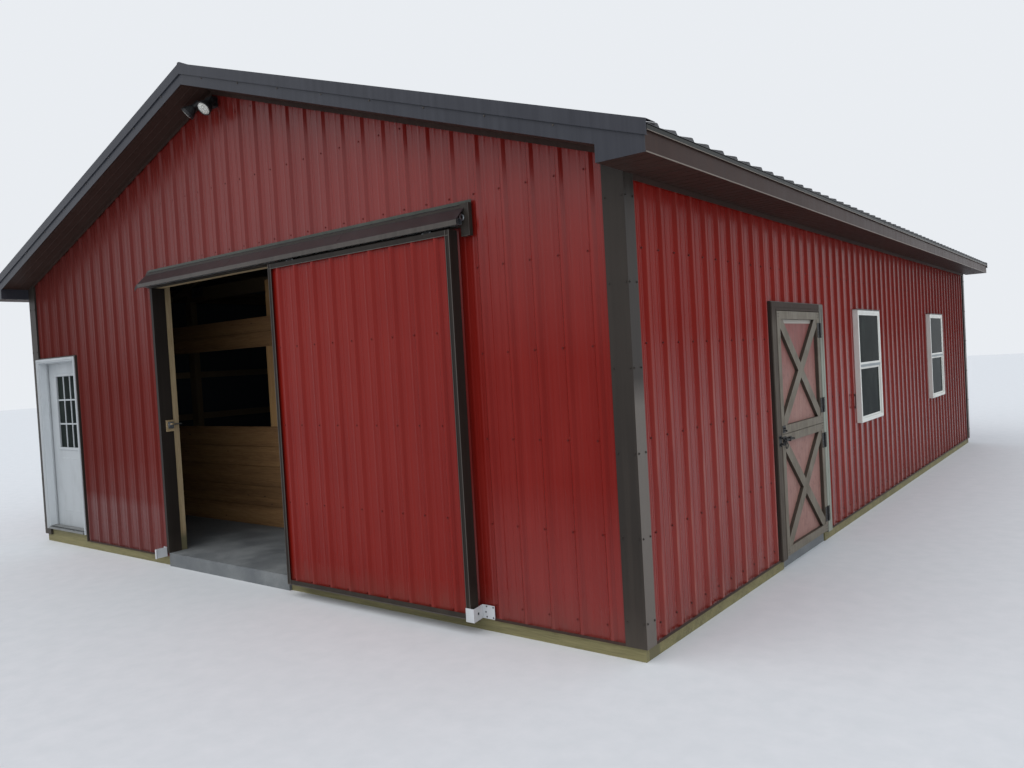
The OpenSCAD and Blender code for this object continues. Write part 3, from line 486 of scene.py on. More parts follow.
def concrete_look():
    """Trowelled concrete, dry and pale, with darker damp patches and pits."""
    look = Look("concrete", 0.8)
    cloud = look.noise(1.6, detail=6)
    sand = look.noise(160.0, detail=4)
    dry = look.two_tone(cloud, 0.35, 0.7, (134, 137, 137), (108, 111, 113))
    dry = look.two_tone(sand, 0.35, 0.75, dry, (90, 92, 93), 0.5)
    damp = look.levels(look.noise(3.1, detail=6), 0.42, 0.66)
    pits = look.levels(look.cells(34.0), 0.16, 0.05)
    surface = look.mix(damp, dry, (92, 96, 99))
    in_pits = look.times(pits, look.levels(cloud, 0.4, 0.6))
    look.color(look.mix(in_pits, surface, (60, 62, 63)))
    look.rough(look.levels(damp, 0.0, 1.0, 0.85, 0.5))
    look.bump(sand, 0.0008, 0.5)
    look.bump(pits, -0.003, 0.6)
    look.bump(cloud, 0.004, 0.3)
    return look.material


def white_look(name, base, shade, roughness):
    """White factory finish with faint dirt."""
    look = Look(name, roughness)
    dirt = look.noise(5.0, detail=6, stretch=(1, 1, 0.4))
    look.color(look.two_tone(dirt, 0.5, 0.85, base, shade, 0.6))
    look.rough(look.levels(dirt, 0.3, 0.8, roughness - 0.05, roughness + 0.15))
    look.bump(look.noise(35.0, detail=3), 0.0006, 0.25)
    return look.material


def glass_look():
    """Float glass whose dark colour is painted shade of the unlit inside, with a faint film of dust."""
    look = Look("window_glass", 0.05, Transmission_Weight=0.12, IOR=1.05, Specular_IOR_Level=0.3)
    film = look.noise(3.5, detail=5, stretch=(1, 1, 0.5))
    look.color(look.two_tone(film, 0.4, 0.75, (26, 32, 31), (50, 56, 53)))
    look.rough(look.levels(film, 0.45, 0.85, 0.03, 0.16))
    look.bump(look.noise(1.8, detail=2), 0.0015, 0.2)
    return look.material


PANEL_RECESS = 0.035


def stable_leaf_look():
    """Grey-brown painted frame and braces, with a rose plywood panel set back between them and
    painted shade on the side faces of the braces and frame.
    """
    look = Look("stable_leaf_paint", 0.62, Specular_IOR_Level=0.28)
    grain = look.noise(3.0, detail=6, stretch=(20, 20, 1.4), distortion=0.8)
    blotch = look.noise(4.0, detail=5)
    timber = look.two_tone(grain, 0.35, 0.7, (122, 114, 100), (98, 91, 80))
    timber = look.two_tone(blotch, 0.5, 0.8, timber, (78, 71, 62), 0.6)
    panel = look.two_tone(grain, 0.3, 0.72, (158, 120, 110), (138, 102, 94))
    rosy = look.two_tone(grain, 0.3, 0.72, (140, 86, 80), (118, 70, 66))
    panel = look.two_tone(look.axis("Z"), 1.45, 2.05, panel, rosy)
    panel = look.two_tone(look.noise(14.0, detail=7), 0.52, 0.8, panel, (108, 76, 70), 0.7)
    face_x = STABLE[1].x
    panel_x = face_x - PANEL_RECESS
    over_panel = look.over("X", panel_x + 0.0005, panel_x + 0.0015)
    over_back = look.over("X", panel_x - 0.0010, panel_x - 0.0005)
    under_brace = look.over("X", face_x - 0.0050, face_x - 0.0060)
    on_panel = look.times(look.minus(1.0, over_panel), over_back)
    shaded_edge = look.times(over_panel, under_brace)
    # Painted shade: the side faces between the panel and the face are darkened
    timber = look.mix(look.times(shaded_edge, 0.8), timber, (48, 38, 32))
    look.color(look.mix(on_panel, timber, panel))
    look.rough(look.levels(blotch, 0.3, 0.75, 0.5, 0.78))
    look.bump(grain, 0.0012, 0.5)
    return look.material


def stable_frame_look():
    """Brown painted timber, paler and glossier on the jamb that carries the hinges, most of all low down.
    """
    look = Look("stable_frame_paint", 0.66)
    grain = look.noise(3.0, detail=6, stretch=(20, 20, 1.2), distortion=0.8)
    paint = look.two_tone(grain, 0.35, 0.7, (94, 86, 77), (74, 67, 60))
    paint = look.two_tone(look.axis("Z"), 2.1, 2.25, paint, (64, 55, 49))
    hinge_jamb = look.over("Y", STABLE[1].y - 0.124, STABLE[1].y - 0.120)
    below_head = look.over("Z", 2.15, 1.7, 0.25, 0.9)
    look.color(look.mix(look.times(hinge_jamb, below_head), paint, (146, 150, 138)))
    look.feed("Specular IOR Level", look.levels(hinge_jamb, 0.0, 1.0, 0.10, 0.5))
    look.rough(look.levels(grain, 0.3, 0.7, 0.56, 0.78))
    look.bump(grain, 0.0012, 0.5)
    return look.material


def lens_look():
    """Pressed glass over a bright reflector."""
    look = Look("lamp_lens", 0.12, Coat_Weight=0.6)
    facets = look.cells(95.0)
    look.color(look.two_tone(facets, 0.2, 0.6, (246, 246, 238), (168, 166, 156)))
    look.bump(facets, 0.003, 0.8)
    return look.material


SIDING = siding_look(
    (120, 25, 19), (129, 34, 28), (104, 66, 58), (90, 37, 33), (172, 108, 96), (58, 63, 67), 0.29)
SCREW_PAINT = painted_steel("screw_paint", (62, 18, 16), (76, 26, 24), (80, 56, 50), 0.4)
DOOR_SCREW_PAINT = painted_steel("door_screw_paint", (98, 24, 20), (106, 30, 25), (92, 56, 50), 0.4)
DOOR_STEEL = painted_steel("sliding_door_paint", (120, 20, 13), (128, 28, 20), (108, 70, 60), 0.3)
ROOF = painted_steel("roof_paint", (60, 60, 62), (74, 74, 76), (90, 88, 84), 0.42)
# Painted reflection: the trim paint tinted blue, standing for the sky reflected in the rakes
RAKE = painted_steel("rake_paint", (51, 52, 58), (61, 62, 68), (88, 84, 80), 0.38)
EAVE = painted_steel("eave_paint", (60, 46, 42), (68, 53, 48), (76, 64, 58), 0.34, 0.04)
EAVE_TOP = painted_steel("eave_top_paint", (42, 43, 41), (52, 53, 50), (70, 68, 62), 0.34, 0.1)
DOOR_TRIM = painted_steel("door_trim_paint", (40, 35, 32), (48, 43, 39), (80, 72, 64), 0.4, 0.1)
TRIM = painted_steel("trim_paint", (50, 45, 41), (60, 54, 49), (88, 80, 72), 0.36, 0.13)
CORNER = corner_look((50, 45, 41), (60, 54, 49), (88, 80, 72), (106, 99, 92), 0.36)
COVER_PAINT = painted_steel("cover_paint", (48, 41, 42), (57, 50, 51), (84, 76, 70), 0.36)
FLANGE_PAINT = painted_steel("flange_paint", (62, 66, 60), (76, 79, 72), (90, 84, 76), 0.4)
# A lighter copy of the trim paint: painted highlight on hems, beads and the cover's lip, also used for the
# rake trims' screws
TRIM_EDGE = painted_steel("trim_hem", (70, 65, 61), (84, 78, 73), (96, 88, 80), 0.36)
DRIP_HEM = painted_steel("drip_hem", (112, 102, 93), (126, 116, 106), (110, 102, 94), 0.4)
SOFFIT = painted_steel("soffit_paint", (58, 43, 38), (66, 50, 45), (70, 56, 50), 0.5, 0.06)
GALVANISED = plain_metal("galvanised", (158, 162, 166), (120, 124, 128), 0.38, 0.85)
DULL_ZINC = plain_metal("dull_zinc", (72, 72, 72), (50, 50, 50), 0.55, 0.6)
BLACK_IRON = plain_metal("black_iron", (22, 22, 23), (44, 42, 41), 0.52, 0.3)
LAMP_BODY = plain_metal("lamp_housing", (30, 30, 31), (48, 48, 49), 0.5, 0.2)
DOOR_METAL = plain_metal("door_hardware", (150, 148, 142), (108, 104, 98), 0.3, 0.9)
CONCRETE = concrete_look()
KNOT = (84, 56, 34)
PINE_LIGHT = (178, 158, 124)
PINE_DARK = (142, 120, 86)
TREATED_FOOT = (104, 98, 70)
PINE_SHADE = (92, 76, 56)
PINE_X = wood("lumber_x", "X", PINE_LIGHT, PINE_DARK, KNOT, inner_shade=PINE_SHADE)
PINE_Y = wood("lumber_y", "Y", PINE_LIGHT, PINE_DARK, KNOT, inner_shade=PINE_SHADE)
PINE_Z = wood("lumber_z", "Z", PINE_LIGHT, PINE_DARK, KNOT, foot=TREATED_FOOT, inner_shade=PINE_SHADE)
STALL_PINE = wood("stall_lumber", "X", (160, 120, 76), (112, 80, 48), (62, 40, 24), knots=3.0)
# Painted light: the stall's upright is a lighter copy of the stall wood, painted as lit
STALL_UPRIGHT = wood("stall_upright_lumber", "Z", (190, 150, 98), (146, 108, 66), (72, 46, 28), knots=3.0)
TREATED = wood("treated_lumber", "X", (138, 130, 88), (106, 100, 68), (76, 70, 48))
STABLE_FRAME = stable_frame_look()
STABLE_LEAF = stable_leaf_look()
WHITE_STEEL = white_look("white_steel", (176, 180, 182), (146, 149, 150), 0.4)
# Painted light: the door frame is a lighter copy of the white steel, against the shade in its reveal
WHITE_JAMB = white_look("white_jamb", (212, 216, 218), (178, 181, 182), 0.42)
WHITE_VINYL = white_look("white_vinyl", (222, 222, 215), (180, 177, 168), 0.46)
GREY_VINYL = white_look("grey_vinyl", (132, 140, 142), (104, 110, 112), 0.46)
WHITE_NYLON = white_look("white_nylon", (202, 204, 206), (160, 160, 156), 0.5)
SILL = white_look("threshold_finish", (118, 119, 118), (84, 84, 82), 0.5)
GLASS = glass_look()
LENS = lens_look()
PALE_STRIP = white_look("stable_strip_paint", (168, 160, 150), (128, 120, 110), 0.6)

NODE_LOOKS = [
    (CONCRETE, "floor_slab"), (TREATED, "skirt_boards"), (PINE_Y, "purlins fascia_boards"),
    (PINE_X, "girts truss_top_chords truss_bottom_chords barge_rafters sliding_door_frame"),
    (PINE_Z, "posts window_studs truss_webs jamb_latch"), (STALL_UPRIGHT, "stall_posts"),
    (ROOF, "roof_sheet_left roof_sheet_right"), (RAKE, "ridge_cap rake_trims eave_returns"),
    (EAVE, "eave_trim wall_edge_trims"), (SOFFIT, "soffits"), (CORNER, "corner_trims"),
    (SIDING, "front_wall walls_over_doors rear_wall left_wall right_wall"),
    (DOOR_TRIM, "doorway_trim sliding_door_trim"), (DOOR_STEEL, "sliding_door_sheet"),
    (TRIM, "track_board track_cover"), (GALVANISED, "door_track"), (WHITE_NYLON, "door_guides"),
    (DULL_ZINC, "sliding_door_hangers"), (WHITE_JAMB, "entry_door_frame"),
    (WHITE_STEEL, "entry_door_leaf"), (DOOR_METAL, "entry_door_hardware"),
    (STABLE_FRAME, "stable_door_frame"), (STABLE_LEAF, "upper_leaf lower_leaf"),
    (BLACK_IRON, "door_ironwork upper_leaf_hardware lower_leaf_hardware"),
    (WHITE_VINYL, "window_frames"), (GLASS, "window_glass entry_door_glass"),
    (LAMP_BODY, "flood_light"), (STALL_PINE, "stall_boards"),
]
for look, names in NODE_LOOKS:
    for name in names.split():
        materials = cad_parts[name].data.materials
        materials.clear()
        materials.append(look)


# Ribs and fasteners


def rows_between(first, last, step):
    count = int((last - first) / step + 1e-6)
    return [first + i * step for i in range(count + 1)]


def centred_rows(count, step):
    return [(i - count / 2) * step for i in range(count + 1)]


GABLE_RIBS = rows_between(-HALF_W + 0.2818, HALF_W - CORNER_GABLE - RIB_FOOT / 2, RIB_PITCH)
SIDE_RIBS = centred_rows(int((2 * HALF_L - 2 * CORNER_SIDE - RIB_FOOT) / RIB_PITCH), RIB_PITCH)
ROOF_RIBS = centred_rows(int((2 * RAKE_Y - 0.25) / RIB_PITCH), RIB_PITCH)


SHORTEST_RIB = 0.02


def clear_spans(u, low, high, holes, margin):
    """The stretches of an upright line at u that are outside every hole and its margin."""
    spans = [(low, high)]
    for left, right, bottom, top in holes:
        if left - margin < u < right + margin:
            spans = [part for a, b in spans for part in ((a, min(b, bottom)), (max(a, top), b))]
    return [(a, b) for a, b in spans if b - a > SHORTEST_RIB]


MINOR_FOOT = 0.014
MINOR_CREST = 0.005
MINOR_H = 0.0020


def minor_rib(shape, matrix, u, low, high):
    """A small stiffening rib on the flat of a sheet."""
    outline = [(-MINOR_FOOT, 0), (-MINOR_CREST, MINOR_H), (MINOR_CREST, MINOR_H), (MINOR_FOOT, 0)]
    rings = [[matrix @ Vector((u + d, v, w)) for d, w in outline] for v in (low, high)]
    shape.sweep(rings)


def minor_ribs(shape, matrix, majors, edges, low, top_at, holes):
    """Two small ribs between each two major ones, from low up to the sheet's top."""
    left, right = edges
    for major in [majors[0] - RIB_PITCH] + majors:
        for third in (1, 2):
            u = major + third * RIB_PITCH / 3
            if left + MINOR_FOOT < u < right - MINOR_FOOT:
                for a, b in clear_spans(u, low, top_at(u), holes, MINOR_FOOT):
                    minor_rib(shape, matrix, u, a, b)


SCREW_HEAD = [(0.0080, 0.0), (0.0080, 0.0018), (0.0050, 0.0024), (0.0046, 0.0070)]
SCREW_OFFSET = -0.043


def screw(shape, matrix, u, v, w=0.0):
    """A hexagon head on a sealing washer."""
    shape.disc_stack(matrix @ Matrix.Translation((u, v, w)), SCREW_HEAD, 6)


def screw_rows(shape, matrix, majors, rows, edges, top_at, holes):
    """Screws beside the major ribs at each row's height, where there is sheet."""
    left, right = edges
    for v in rows:
        for major in majors:
            u = major + SCREW_OFFSET
            if not left < u < right or v > top_at(u) - 0.04:
                continue
            if any(a < u < b and c < v < d for a, b, c, d in holes):
                continue
            screw(shape, matrix, u, v)


def gable_top(u):
    return WALL_TOP - PITCH * abs(u) - 0.004


def eave_top(u):
    return EAVE_Z


def front_span(box):
    """The left, right, low and high edges of a box that is seen from the front."""
    return (box[0].x, box[1].x, box[0].z, box[1].z)


def side_span(box):
    """The same edges of a box that is seen from the side."""
    return (box[0].y, box[1].y, box[0].z, box[1].z)


SIDE_EDGE = HALF_L - CORNER_SIDE
GABLE_EDGE = HALF_W - CORNER_GABLE
front_holes = [(*front_span(box)[:2], 0, box[1].z) for box in (ENTRY, DOORWAY)]
window_spans = [(y - WINDOW_W / 2, y + WINDOW_W / 2) for y in WINDOW_Y]
window_top = WINDOW_Z + WINDOW_H
right_holes = [(a, b, WINDOW_Z, window_top) for a, b in window_spans]
right_holes.append((STABLE[0].y, STABLE[1].y, 0, STABLE[1].z))
left_holes = [(-b, -a, WINDOW_Z, window_top) for a, b in window_spans]

WALLS = [
    ("front", FRONT, GABLE_RIBS, GABLE_EDGE, gable_top, front_holes, GIRT_ROWS + GABLE_ROWS),
    ("rear", REAR, GABLE_RIBS, GABLE_EDGE, gable_top, [], GIRT_ROWS + GABLE_ROWS),
    ("right", RIGHT, SIDE_RIBS, SIDE_EDGE, eave_top, right_holes, GIRT_ROWS),
    ("left", LEFT, SIDE_RIBS, SIDE_EDGE, eave_top, left_holes, GIRT_ROWS),
]
for side, matrix, majors, edge, top_at, holes, rows in WALLS:
    ribs = Shape()
    minor_ribs(ribs, matrix, majors, (-edge, edge), SIDING_FOOT + 0.001, top_at, holes)
    make(side + "_wall_minor_ribs", ribs, SIDING)
    heads = Shape()
    screw_rows(heads, matrix, majors, [FOOT_ROW] + rows, (-edge, edge), top_at, holes)
    paint = DOOR_SCREW_PAINT if side == "front" else SCREW_PAINT
    make(side + "_wall_screws", heads, paint)

# The roof's ribs run from under the ridge cap down to the eaves
CAP_EDGE = 0.190 / SLANT
SHEET_RUN = (HALF_W + OVERHANG + 0.018) / SLANT
PURLIN_STEP = ((HALF_W + OVERHANG - TRIM_T - BOARD_T - LUMBER_W) / SLANT - 0.070) / 7
PURLIN_FIRST = 0.1145
ROOF_EDGE = RAKE_Y - 0.112


def ridge_top(u):
    return -CAP_EDGE + 0.02


for side, name in ((1, "right"), (-1, "left")):
    matrix = slope_facing(side)
    ribs = Shape()
    minor_ribs(ribs, matrix, ROOF_RIBS, (-ROOF_EDGE, ROOF_EDGE), -SHEET_RUN + 0.001, ridge_top, [])
    make(name + "_roof_minor_ribs", ribs, ROOF)
    heads = Shape()
    rows = [-(PURLIN_FIRST + i * PURLIN_STEP) for i in range(1, 8)]
    screw_rows(heads, matrix, ROOF_RIBS, rows, (-ROOF_EDGE, ROOF_EDGE), ridge_top, [])
    make(name + "_roof_screws", heads, ROOF)

# Screws through the ridge cap and through the rake trims, on both slopes
SEAM_DROP = 0.106
RAKE_SCREW_ROWS = rows_between(0.35, 4.70, 0.55)
cap_screws, rake_screws = Shape(), Shape()
for side in (1, -1):
    matrix = slope_facing(side)
    for rib in ROOF_RIBS[::2]:
        screw(cap_screws, matrix, side * rib, -0.165, RIB_H + TRIM_T)
    for end in (1, -1):
        for d in RAKE_SCREW_ROWS:
            screw(rake_screws, matrix, end * (RAKE_Y - 0.085), -d, RIB_H + TRIM_T)
            x = side * d * SLANT
            z = RIDGE_Z - PITCH * abs(x) - SEAM_DROP
            screw(rake_screws, facing((x, end * RAKE_BACK_Y, z), (-end, 0, 0)), 0, 0)
make("ridge_cap_screws", cap_screws, RAKE)
make("rake_trim_screws", rake_screws, TRIM_EDGE)

# Pairs of screws along the corner trims, clear of the entry door's moulding
SCREW_INSET = 0.018
CORNER_SCREW_ROWS = rows_between(0.25, 2.90, 0.53)
corner_screws = Shape()
for end in (1, -1):
    for side in (1, -1):
        corner = (side * HALF_W, end * HALF_L, 0)
        gable = facing(corner, (-end, 0, 0))
        wall = facing(corner, (0, side, 0))
        for z in CORNER_SCREW_ROWS:
            for inset in (SCREW_INSET, CORNER_GABLE - SCREW_INSET):
                if side == end == -1 and inset > SCREW_INSET and z < ENTRY[1].z:
                    continue
                screw(corner_screws, gable, side * end * inset, z)
            for inset in (SCREW_INSET, CORNER_SIDE - SCREW_INSET):
                screw(corner_screws, wall, -end * side * inset, z)
make("corner_trim_screws", corner_screws, TRIM)


# Eaves and rakes

SOFFIT_GROOVE = 0.0012
SOFFIT_STEP = 0.1016


def eave_box(shape, side, out_a, out_b, low, high, y_a, y_b):
    """A box along one eave, from distances out of the fascia's face."""
    edge = side * (HALF_W + OVERHANG)
    xs = sorted((edge + side * out_a, edge + side * out_b))
    shape.box((xs[0], y_a, low), (xs[1], y_b, high))


drips, hems, grooves = (Shape() for _ in range(3))
reach = RAKE_BACK_Y - 0.006
drip_top = SHEET_Z - PITCH * (HALF_W + OVERHANG) - 0.006
EAVE_BARS = [
    (drips, 0.0, 0.014, drip_top - 0.004, drip_top),
    (drips, 0.011, 0.014, drip_top - 0.028, drip_top),
    (hems, 0.010, 0.0145, drip_top - 0.032, drip_top - 0.028),
    (hems, 0.0, 0.004, EAVE_Z, EAVE_Z + 0.007),
]
for side in (1, -1):
    for shape, out_a, out_b, low, high in EAVE_BARS:
        eave_box(shape, side, out_a, out_b, low, high, -reach, reach)
    for y in rows_between(-reach + 0.05, reach - 0.02, SOFFIT_STEP):
        eave_box(grooves, side, -0.320, -0.006, EAVE_Z - SOFFIT_GROOVE, EAVE_Z, y, y + 0.012)
make("eave_drip_edges", drips, EAVE_TOP, bevel=0.001)
make("eave_hems", hems, DRIP_HEM)
make("eave_soffit_ribs", grooves, SOFFIT)

# Ribs along the sloping soffits under the rakes
rake_ribs = Shape()
for side in (1, -1):
    for end in (1, -1):
        for inset in rows_between(0.045, 0.27, 0.075):
            y = end * (RAKE_BACK_Y - inset)
            rings = []
            for x in (0.02, HALF_W - 0.01):
                z = WALL_TOP - PITCH * x
                rings.append([
                    (side * x, y - 0.008, z), (side * x, y + 0.008, z),
                    (side * x, y + 0.006, z - 0.0015), (side * x, y - 0.006, z - 0.0015),
                ])
            rake_ribs.sweep(rings)
make("rake_soffit_ribs", rake_ribs, SOFFIT)


# Windows


def ring(shape, matrix, span, profile, base=0.0, bottom=True):
    """A mitred frame round a rectangle. The profile is (inset, height over the base) points."""
    left, right, low, high = span
    corners = [(left, low, 1, 1), (left, high, 1, -1), (right, high, -1, -1), (right, low, -1, 1)]
    rings = []
    for u, v, du, dv in corners:
        lift = dv if bottom or v == high else 0
        rings.append([matrix @ Vector((u + du * d, v + lift * d, base + w)) for d, w in profile])
    shape.sweep(rings, closed=bottom)


def flat_profile(inner, outer, low, high):
    """A plain bar's section, for ring."""
    return [(inner, low), (inner, high), (outer, high), (outer, low)]


SASH_W = 0.020
FRAME_OUT = HALF_W + 0.030 - FLAT_X
CASING = [(0.0, 0.0), (0.0, 0.002), (0.004, 0.004), (0.030, 0.004), (0.034, 0.001), (0.040, 0.0)]
UPPER_SASH = [(0.0, 0.034), (0.0, 0.048), (SASH_W - 0.004, 0.048), (SASH_W, 0.046), (SASH_W, 0.034)]
LOWER_SASH = [(0.0, 0.022), (0.0, 0.038), (SASH_W - 0.004, 0.038), (SASH_W, 0.034), (SASH_W, 0.022)]
RAIL_HALF = 0.018
MEET = WINDOW_Z + WINDOW_H / 2
HEAD_REACH = 0.010
FLASHING = [(0.0, 0.0, FRAME_OUT + 0.006), (0.010, FRAME_OUT + 0.0045, FRAME_OUT + 0.0075)]
casings, sashes, rails, heads = (Shape() for _ in range(4))
for matrix, sign in ((RIGHT, 1), (LEFT, -1)):
    for y in WINDOW_Y:
        left = sign * y - WINDOW_W / 2
        right = left + WINDOW_W
        inner_l = left + WINDOW_FACE
        inner_r = right - WINDOW_FACE
        ring(casings, matrix, (left, right, WINDOW_Z, window_top), CASING, FRAME_OUT)
        upper_pane = (inner_l, inner_r, MEET + RAIL_HALF, window_top - WINDOW_FACE)
        lower_pane = (inner_l, inner_r, WINDOW_Z + WINDOW_FACE, MEET - RAIL_HALF)
        ring(sashes, matrix, upper_pane, UPPER_SASH)
        ring(sashes, matrix, lower_pane, LOWER_SASH)
        rail_low = (inner_l, MEET - RAIL_HALF + 0.004, 0.048)
        rails.turned_box(matrix, rail_low, (inner_r, MEET + RAIL_HALF - 0.004, 0.051))
        for drop, back, front in FLASHING:
            low_end = (left - HEAD_REACH, window_top - drop, back)
            heads.turned_box(matrix, low_end, (right + HEAD_REACH, window_top + 0.004, front))
make("window_casings", casings, WHITE_VINYL, bevel=0.001)
make("window_sashes", sashes, WHITE_VINYL, bevel=0.0008)
make("window_meeting_rails", rails, GREY_VINYL, bevel=0.002)
make("window_head_flashings", heads, TRIM)


# Entry door

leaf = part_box("entry_door_leaf")
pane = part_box("entry_door_glass")
entry_l, entry_r, entry_low, entry_high = front_span(ENTRY)
leaf_l, leaf_r, leaf_low, leaf_high = front_span(leaf)
pane_l, pane_r, pane_low, pane_high = front_span(pane)
frame_w = -ENTRY[0].y - FLAT_Y
leaf_w = -leaf[0].y - FLAT_Y
pane_w = -pane[0].y - FLAT_Y

mould = Shape()
MOULD = [
    (0.0, 0.0), (0.0, 0.012), (0.008, 0.018), (0.026, 0.018), (0.034, 0.010), (0.044, 0.009), (0.050, 0.0),
]
ring(mould, FRONT, front_span(ENTRY), MOULD, frame_w, bottom=False)
STOP_GAP = 0.005
stop_span = (leaf_l - STOP_GAP, leaf_r + STOP_GAP, leaf_low - STOP_GAP, leaf_high + STOP_GAP)
ring(mould, FRONT, stop_span, flat_profile(0.0, 0.012, 0.006, 0.022), leaf_w, bottom=False)
make("entry_door_mouldings", mould, WHITE_STEEL, bevel=0.001)

threshold = Shape()
threshold_front = frame_w + 0.020
THRESHOLD_SECTION = [
    (entry_low + 0.002, frame_w), (entry_low + 0.002, threshold_front),
    (entry_low + 0.020, threshold_front), (leaf_low + 0.006, leaf_w + 0.010),
    (entry_low + 0.027, leaf_w + 0.010), (entry_low + 0.027, frame_w),
]
threshold.sweep([
    [FRONT @ Vector((u, v, w)) for v, w in THRESHOLD_SECTION] for u in (leaf_l - 0.004, leaf_r + 0.004)])
make("entry_threshold", threshold, SILL, bevel=0.001)

# The glass's frame and bars, and the two raised panels under it
LITE_FRAME = [
    (-0.030, 0.0), (-0.030, 0.006), (-0.022, 0.011), (-0.004, 0.011),
    (0.004, 0.004), (0.004, -0.014), (-0.006, -0.014), (-0.006, 0.0),
]
PANEL_BEAD = [(0.0, 0.0), (0.010, 0.0014), (0.020, 0.0014), (0.030, 0.0)]
BAR_HALF = 0.009
lite = Shape()
ring(lite, FRONT, front_span(pane), LITE_FRAME, leaf_w)
pane_wide = pane_r - pane_l
pane_tall = pane_high - pane_low
for third in (1, 2):
    u = pane_l + third * pane_wide / 3
    v = pane_low + third * pane_tall / 3
    lite.turned_box(FRONT, (u - BAR_HALF, pane_low, pane_w), (u + BAR_HALF, pane_high, pane_w + 0.009))
    lite.turned_box(FRONT, (pane_l, v - BAR_HALF, pane_w), (pane_r, v + BAR_HALF, pane_w + 0.0092))
for left, right in ((0.0, 0.45), (0.55, 1.0)):
    span = (pane_l + left * pane_wide, pane_l + right * pane_wide, leaf_low + 0.18, pane_low - 0.12)
    ring(lite, FRONT, span, PANEL_BEAD, leaf_w)
make("entry_door_panels", lite, WHITE_STEEL, body="entry_door", bevel=0.0008)

entry_edging = Shape()
EDGE_W = 0.014
for low, high in (
        ((entry_l, entry_high, 0.0), (entry_r + EDGE_W, entry_high + 0.013, frame_w + 0.004)),
        ((entry_r, SIDING_FOOT, 0.0), (entry_r + EDGE_W, entry_high, frame_w + 0.004)),
        ((entry_l - 0.004, SIDING_FOOT, 0.0), (entry_l + 0.052, entry_low, frame_w - 0.002))):
    entry_edging.turned_box(FRONT, low, high)
make("entry_edge_trim", entry_edging, TRIM, bevel=0.001)

deadbolt = Shape()
bolt_at = facing((leaf_r - 0.060, leaf[0].y, 1.20), ALONG_FRONT)
deadbolt.disc_stack(bolt_at, [(0.030, 0.0), (0.030, 0.008), (0.024, 0.016), (0.014, 0.018)], 28)
make("entry_deadbolt", deadbolt, DOOR_METAL, body="entry_door", smooth=True)


# Stable door

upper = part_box("upper_leaf")
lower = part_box("lower_leaf")
face_x = STABLE[1].x
stable_w = face_x - FLAT_X
stable_span = side_span(STABLE)

band = Shape()
BEAD_RISE = 0.047
ring(band, RIGHT, stable_span, flat_profile(0.0, 0.044, 0.0, 0.003), stable_w, bottom=False)
bead_span = (*stable_span[:3], stable_span[3] + BEAD_RISE)
ring(band, RIGHT, bead_span, flat_profile(0.104, 0.117, 0.0, 0.003), stable_w, bottom=False)
make("stable_door_band", band, STABLE_FRAME, bevel=0.002)

channel = Shape()
ring(channel, RIGHT, stable_span, flat_profile(-0.006, 0.0, 0.0, stable_w - 0.004), bottom=False)
make("stable_door_channel", channel, TRIM, bevel=0.001)

RAIL = 0.070
NAIL_HEAD = [(0.0042, 0.0), (0.0040, 0.0012), (0.0020, 0.0018)]


def leaf_nails(box):
    """Nail heads where the rails, stiles and braces of a stable leaf meet."""
    shape = Shape()
    left, right, low, high = side_span(box)
    for y in (left + RAIL / 3, left + 2 * RAIL / 3, right - RAIL / 3, right - 2 * RAIL / 3):
        for z in (low + RAIL / 3, low + 2 * RAIL / 3, high - RAIL / 3, high - 2 * RAIL / 3):
            shape.disc_stack(facing((box[1].x, y, z), ALONG_SIDE), NAIL_HEAD, 8)
    return shape


make("upper_leaf_nails", leaf_nails(upper), BLACK_IRON, body="upper_stable_leaf")
make("lower_leaf_nails", leaf_nails(lower), BLACK_IRON, body="lower_stable_leaf")

strip = Shape()
strip_top = upper[1].z - RAIL
panel_x = face_x - PANEL_RECESS
strip.box((panel_x, upper[0].y + RAIL, strip_top - 0.036), (panel_x + 0.003, upper[1].y - RAIL, strip_top))
make("upper_leaf_strip", strip, PALE_STRIP, body="upper_stable_leaf", bevel=0.001)

KNOB = [(0.006, 0.0), (0.006, 0.010), (0.014, 0.014), (0.015, 0.022), (0.009, 0.028), (0.002, 0.030)]
PULL_RADIUS = 0.026
PULL_WIRE = 0.0045
WIRE_TURNS = [2 * math.pi * k / 8 for k in range(8)]
PULL_SECTION = [(PULL_RADIUS + PULL_WIRE * math.cos(a), PULL_WIRE * math.sin(a)) for a in WIRE_TURNS]


def iron_knob(shape, origin, offset, size):
    levels = [(r * size, h * size) for r, h in KNOB]
    shape.disc_stack(facing(moved(origin, offset), ALONG_SIDE), levels, 16)


latch_at = (face_x, lower[0].y, lower[1].z - 0.045)
keeper = Shape()
keeper.boxes(latch_at, [
    (0.0, -0.095, -0.050, 0.004, -0.030, 0.050),
    (0.004, -0.055, 0.018, 0.026, -0.040, 0.034),
    (0.004, -0.055, -0.034, 0.026, -0.040, -0.018),
])
for rise in (0.036, -0.036):
    iron_knob(keeper, latch_at, (0.004, -0.080, rise), 0.7)
make("stable_latch_keeper", keeper, BLACK_IRON, bevel=0.0015)

latch = Shape()
latch.boxes(latch_at, [
    (0.0, 0.010, -0.048, 0.004, 0.085, 0.030),
    (0.010, 0.004, -0.010, 0.022, 0.230, 0.006),
    (0.004, 0.030, -0.020, 0.026, 0.042, 0.016),
    (0.004, 0.130, -0.020, 0.026, 0.142, 0.016),
])
iron_knob(latch, latch_at, (0.020, 0.215, -0.002), 0.45)
latch.turned_ring(facing(moved(latch_at, (0.014, 0.062, -0.050)), ALONG_SIDE), PULL_SECTION, 20)
make("lower_leaf_latch", latch, BLACK_IRON, body="lower_stable_leaf", bevel=0.0012)

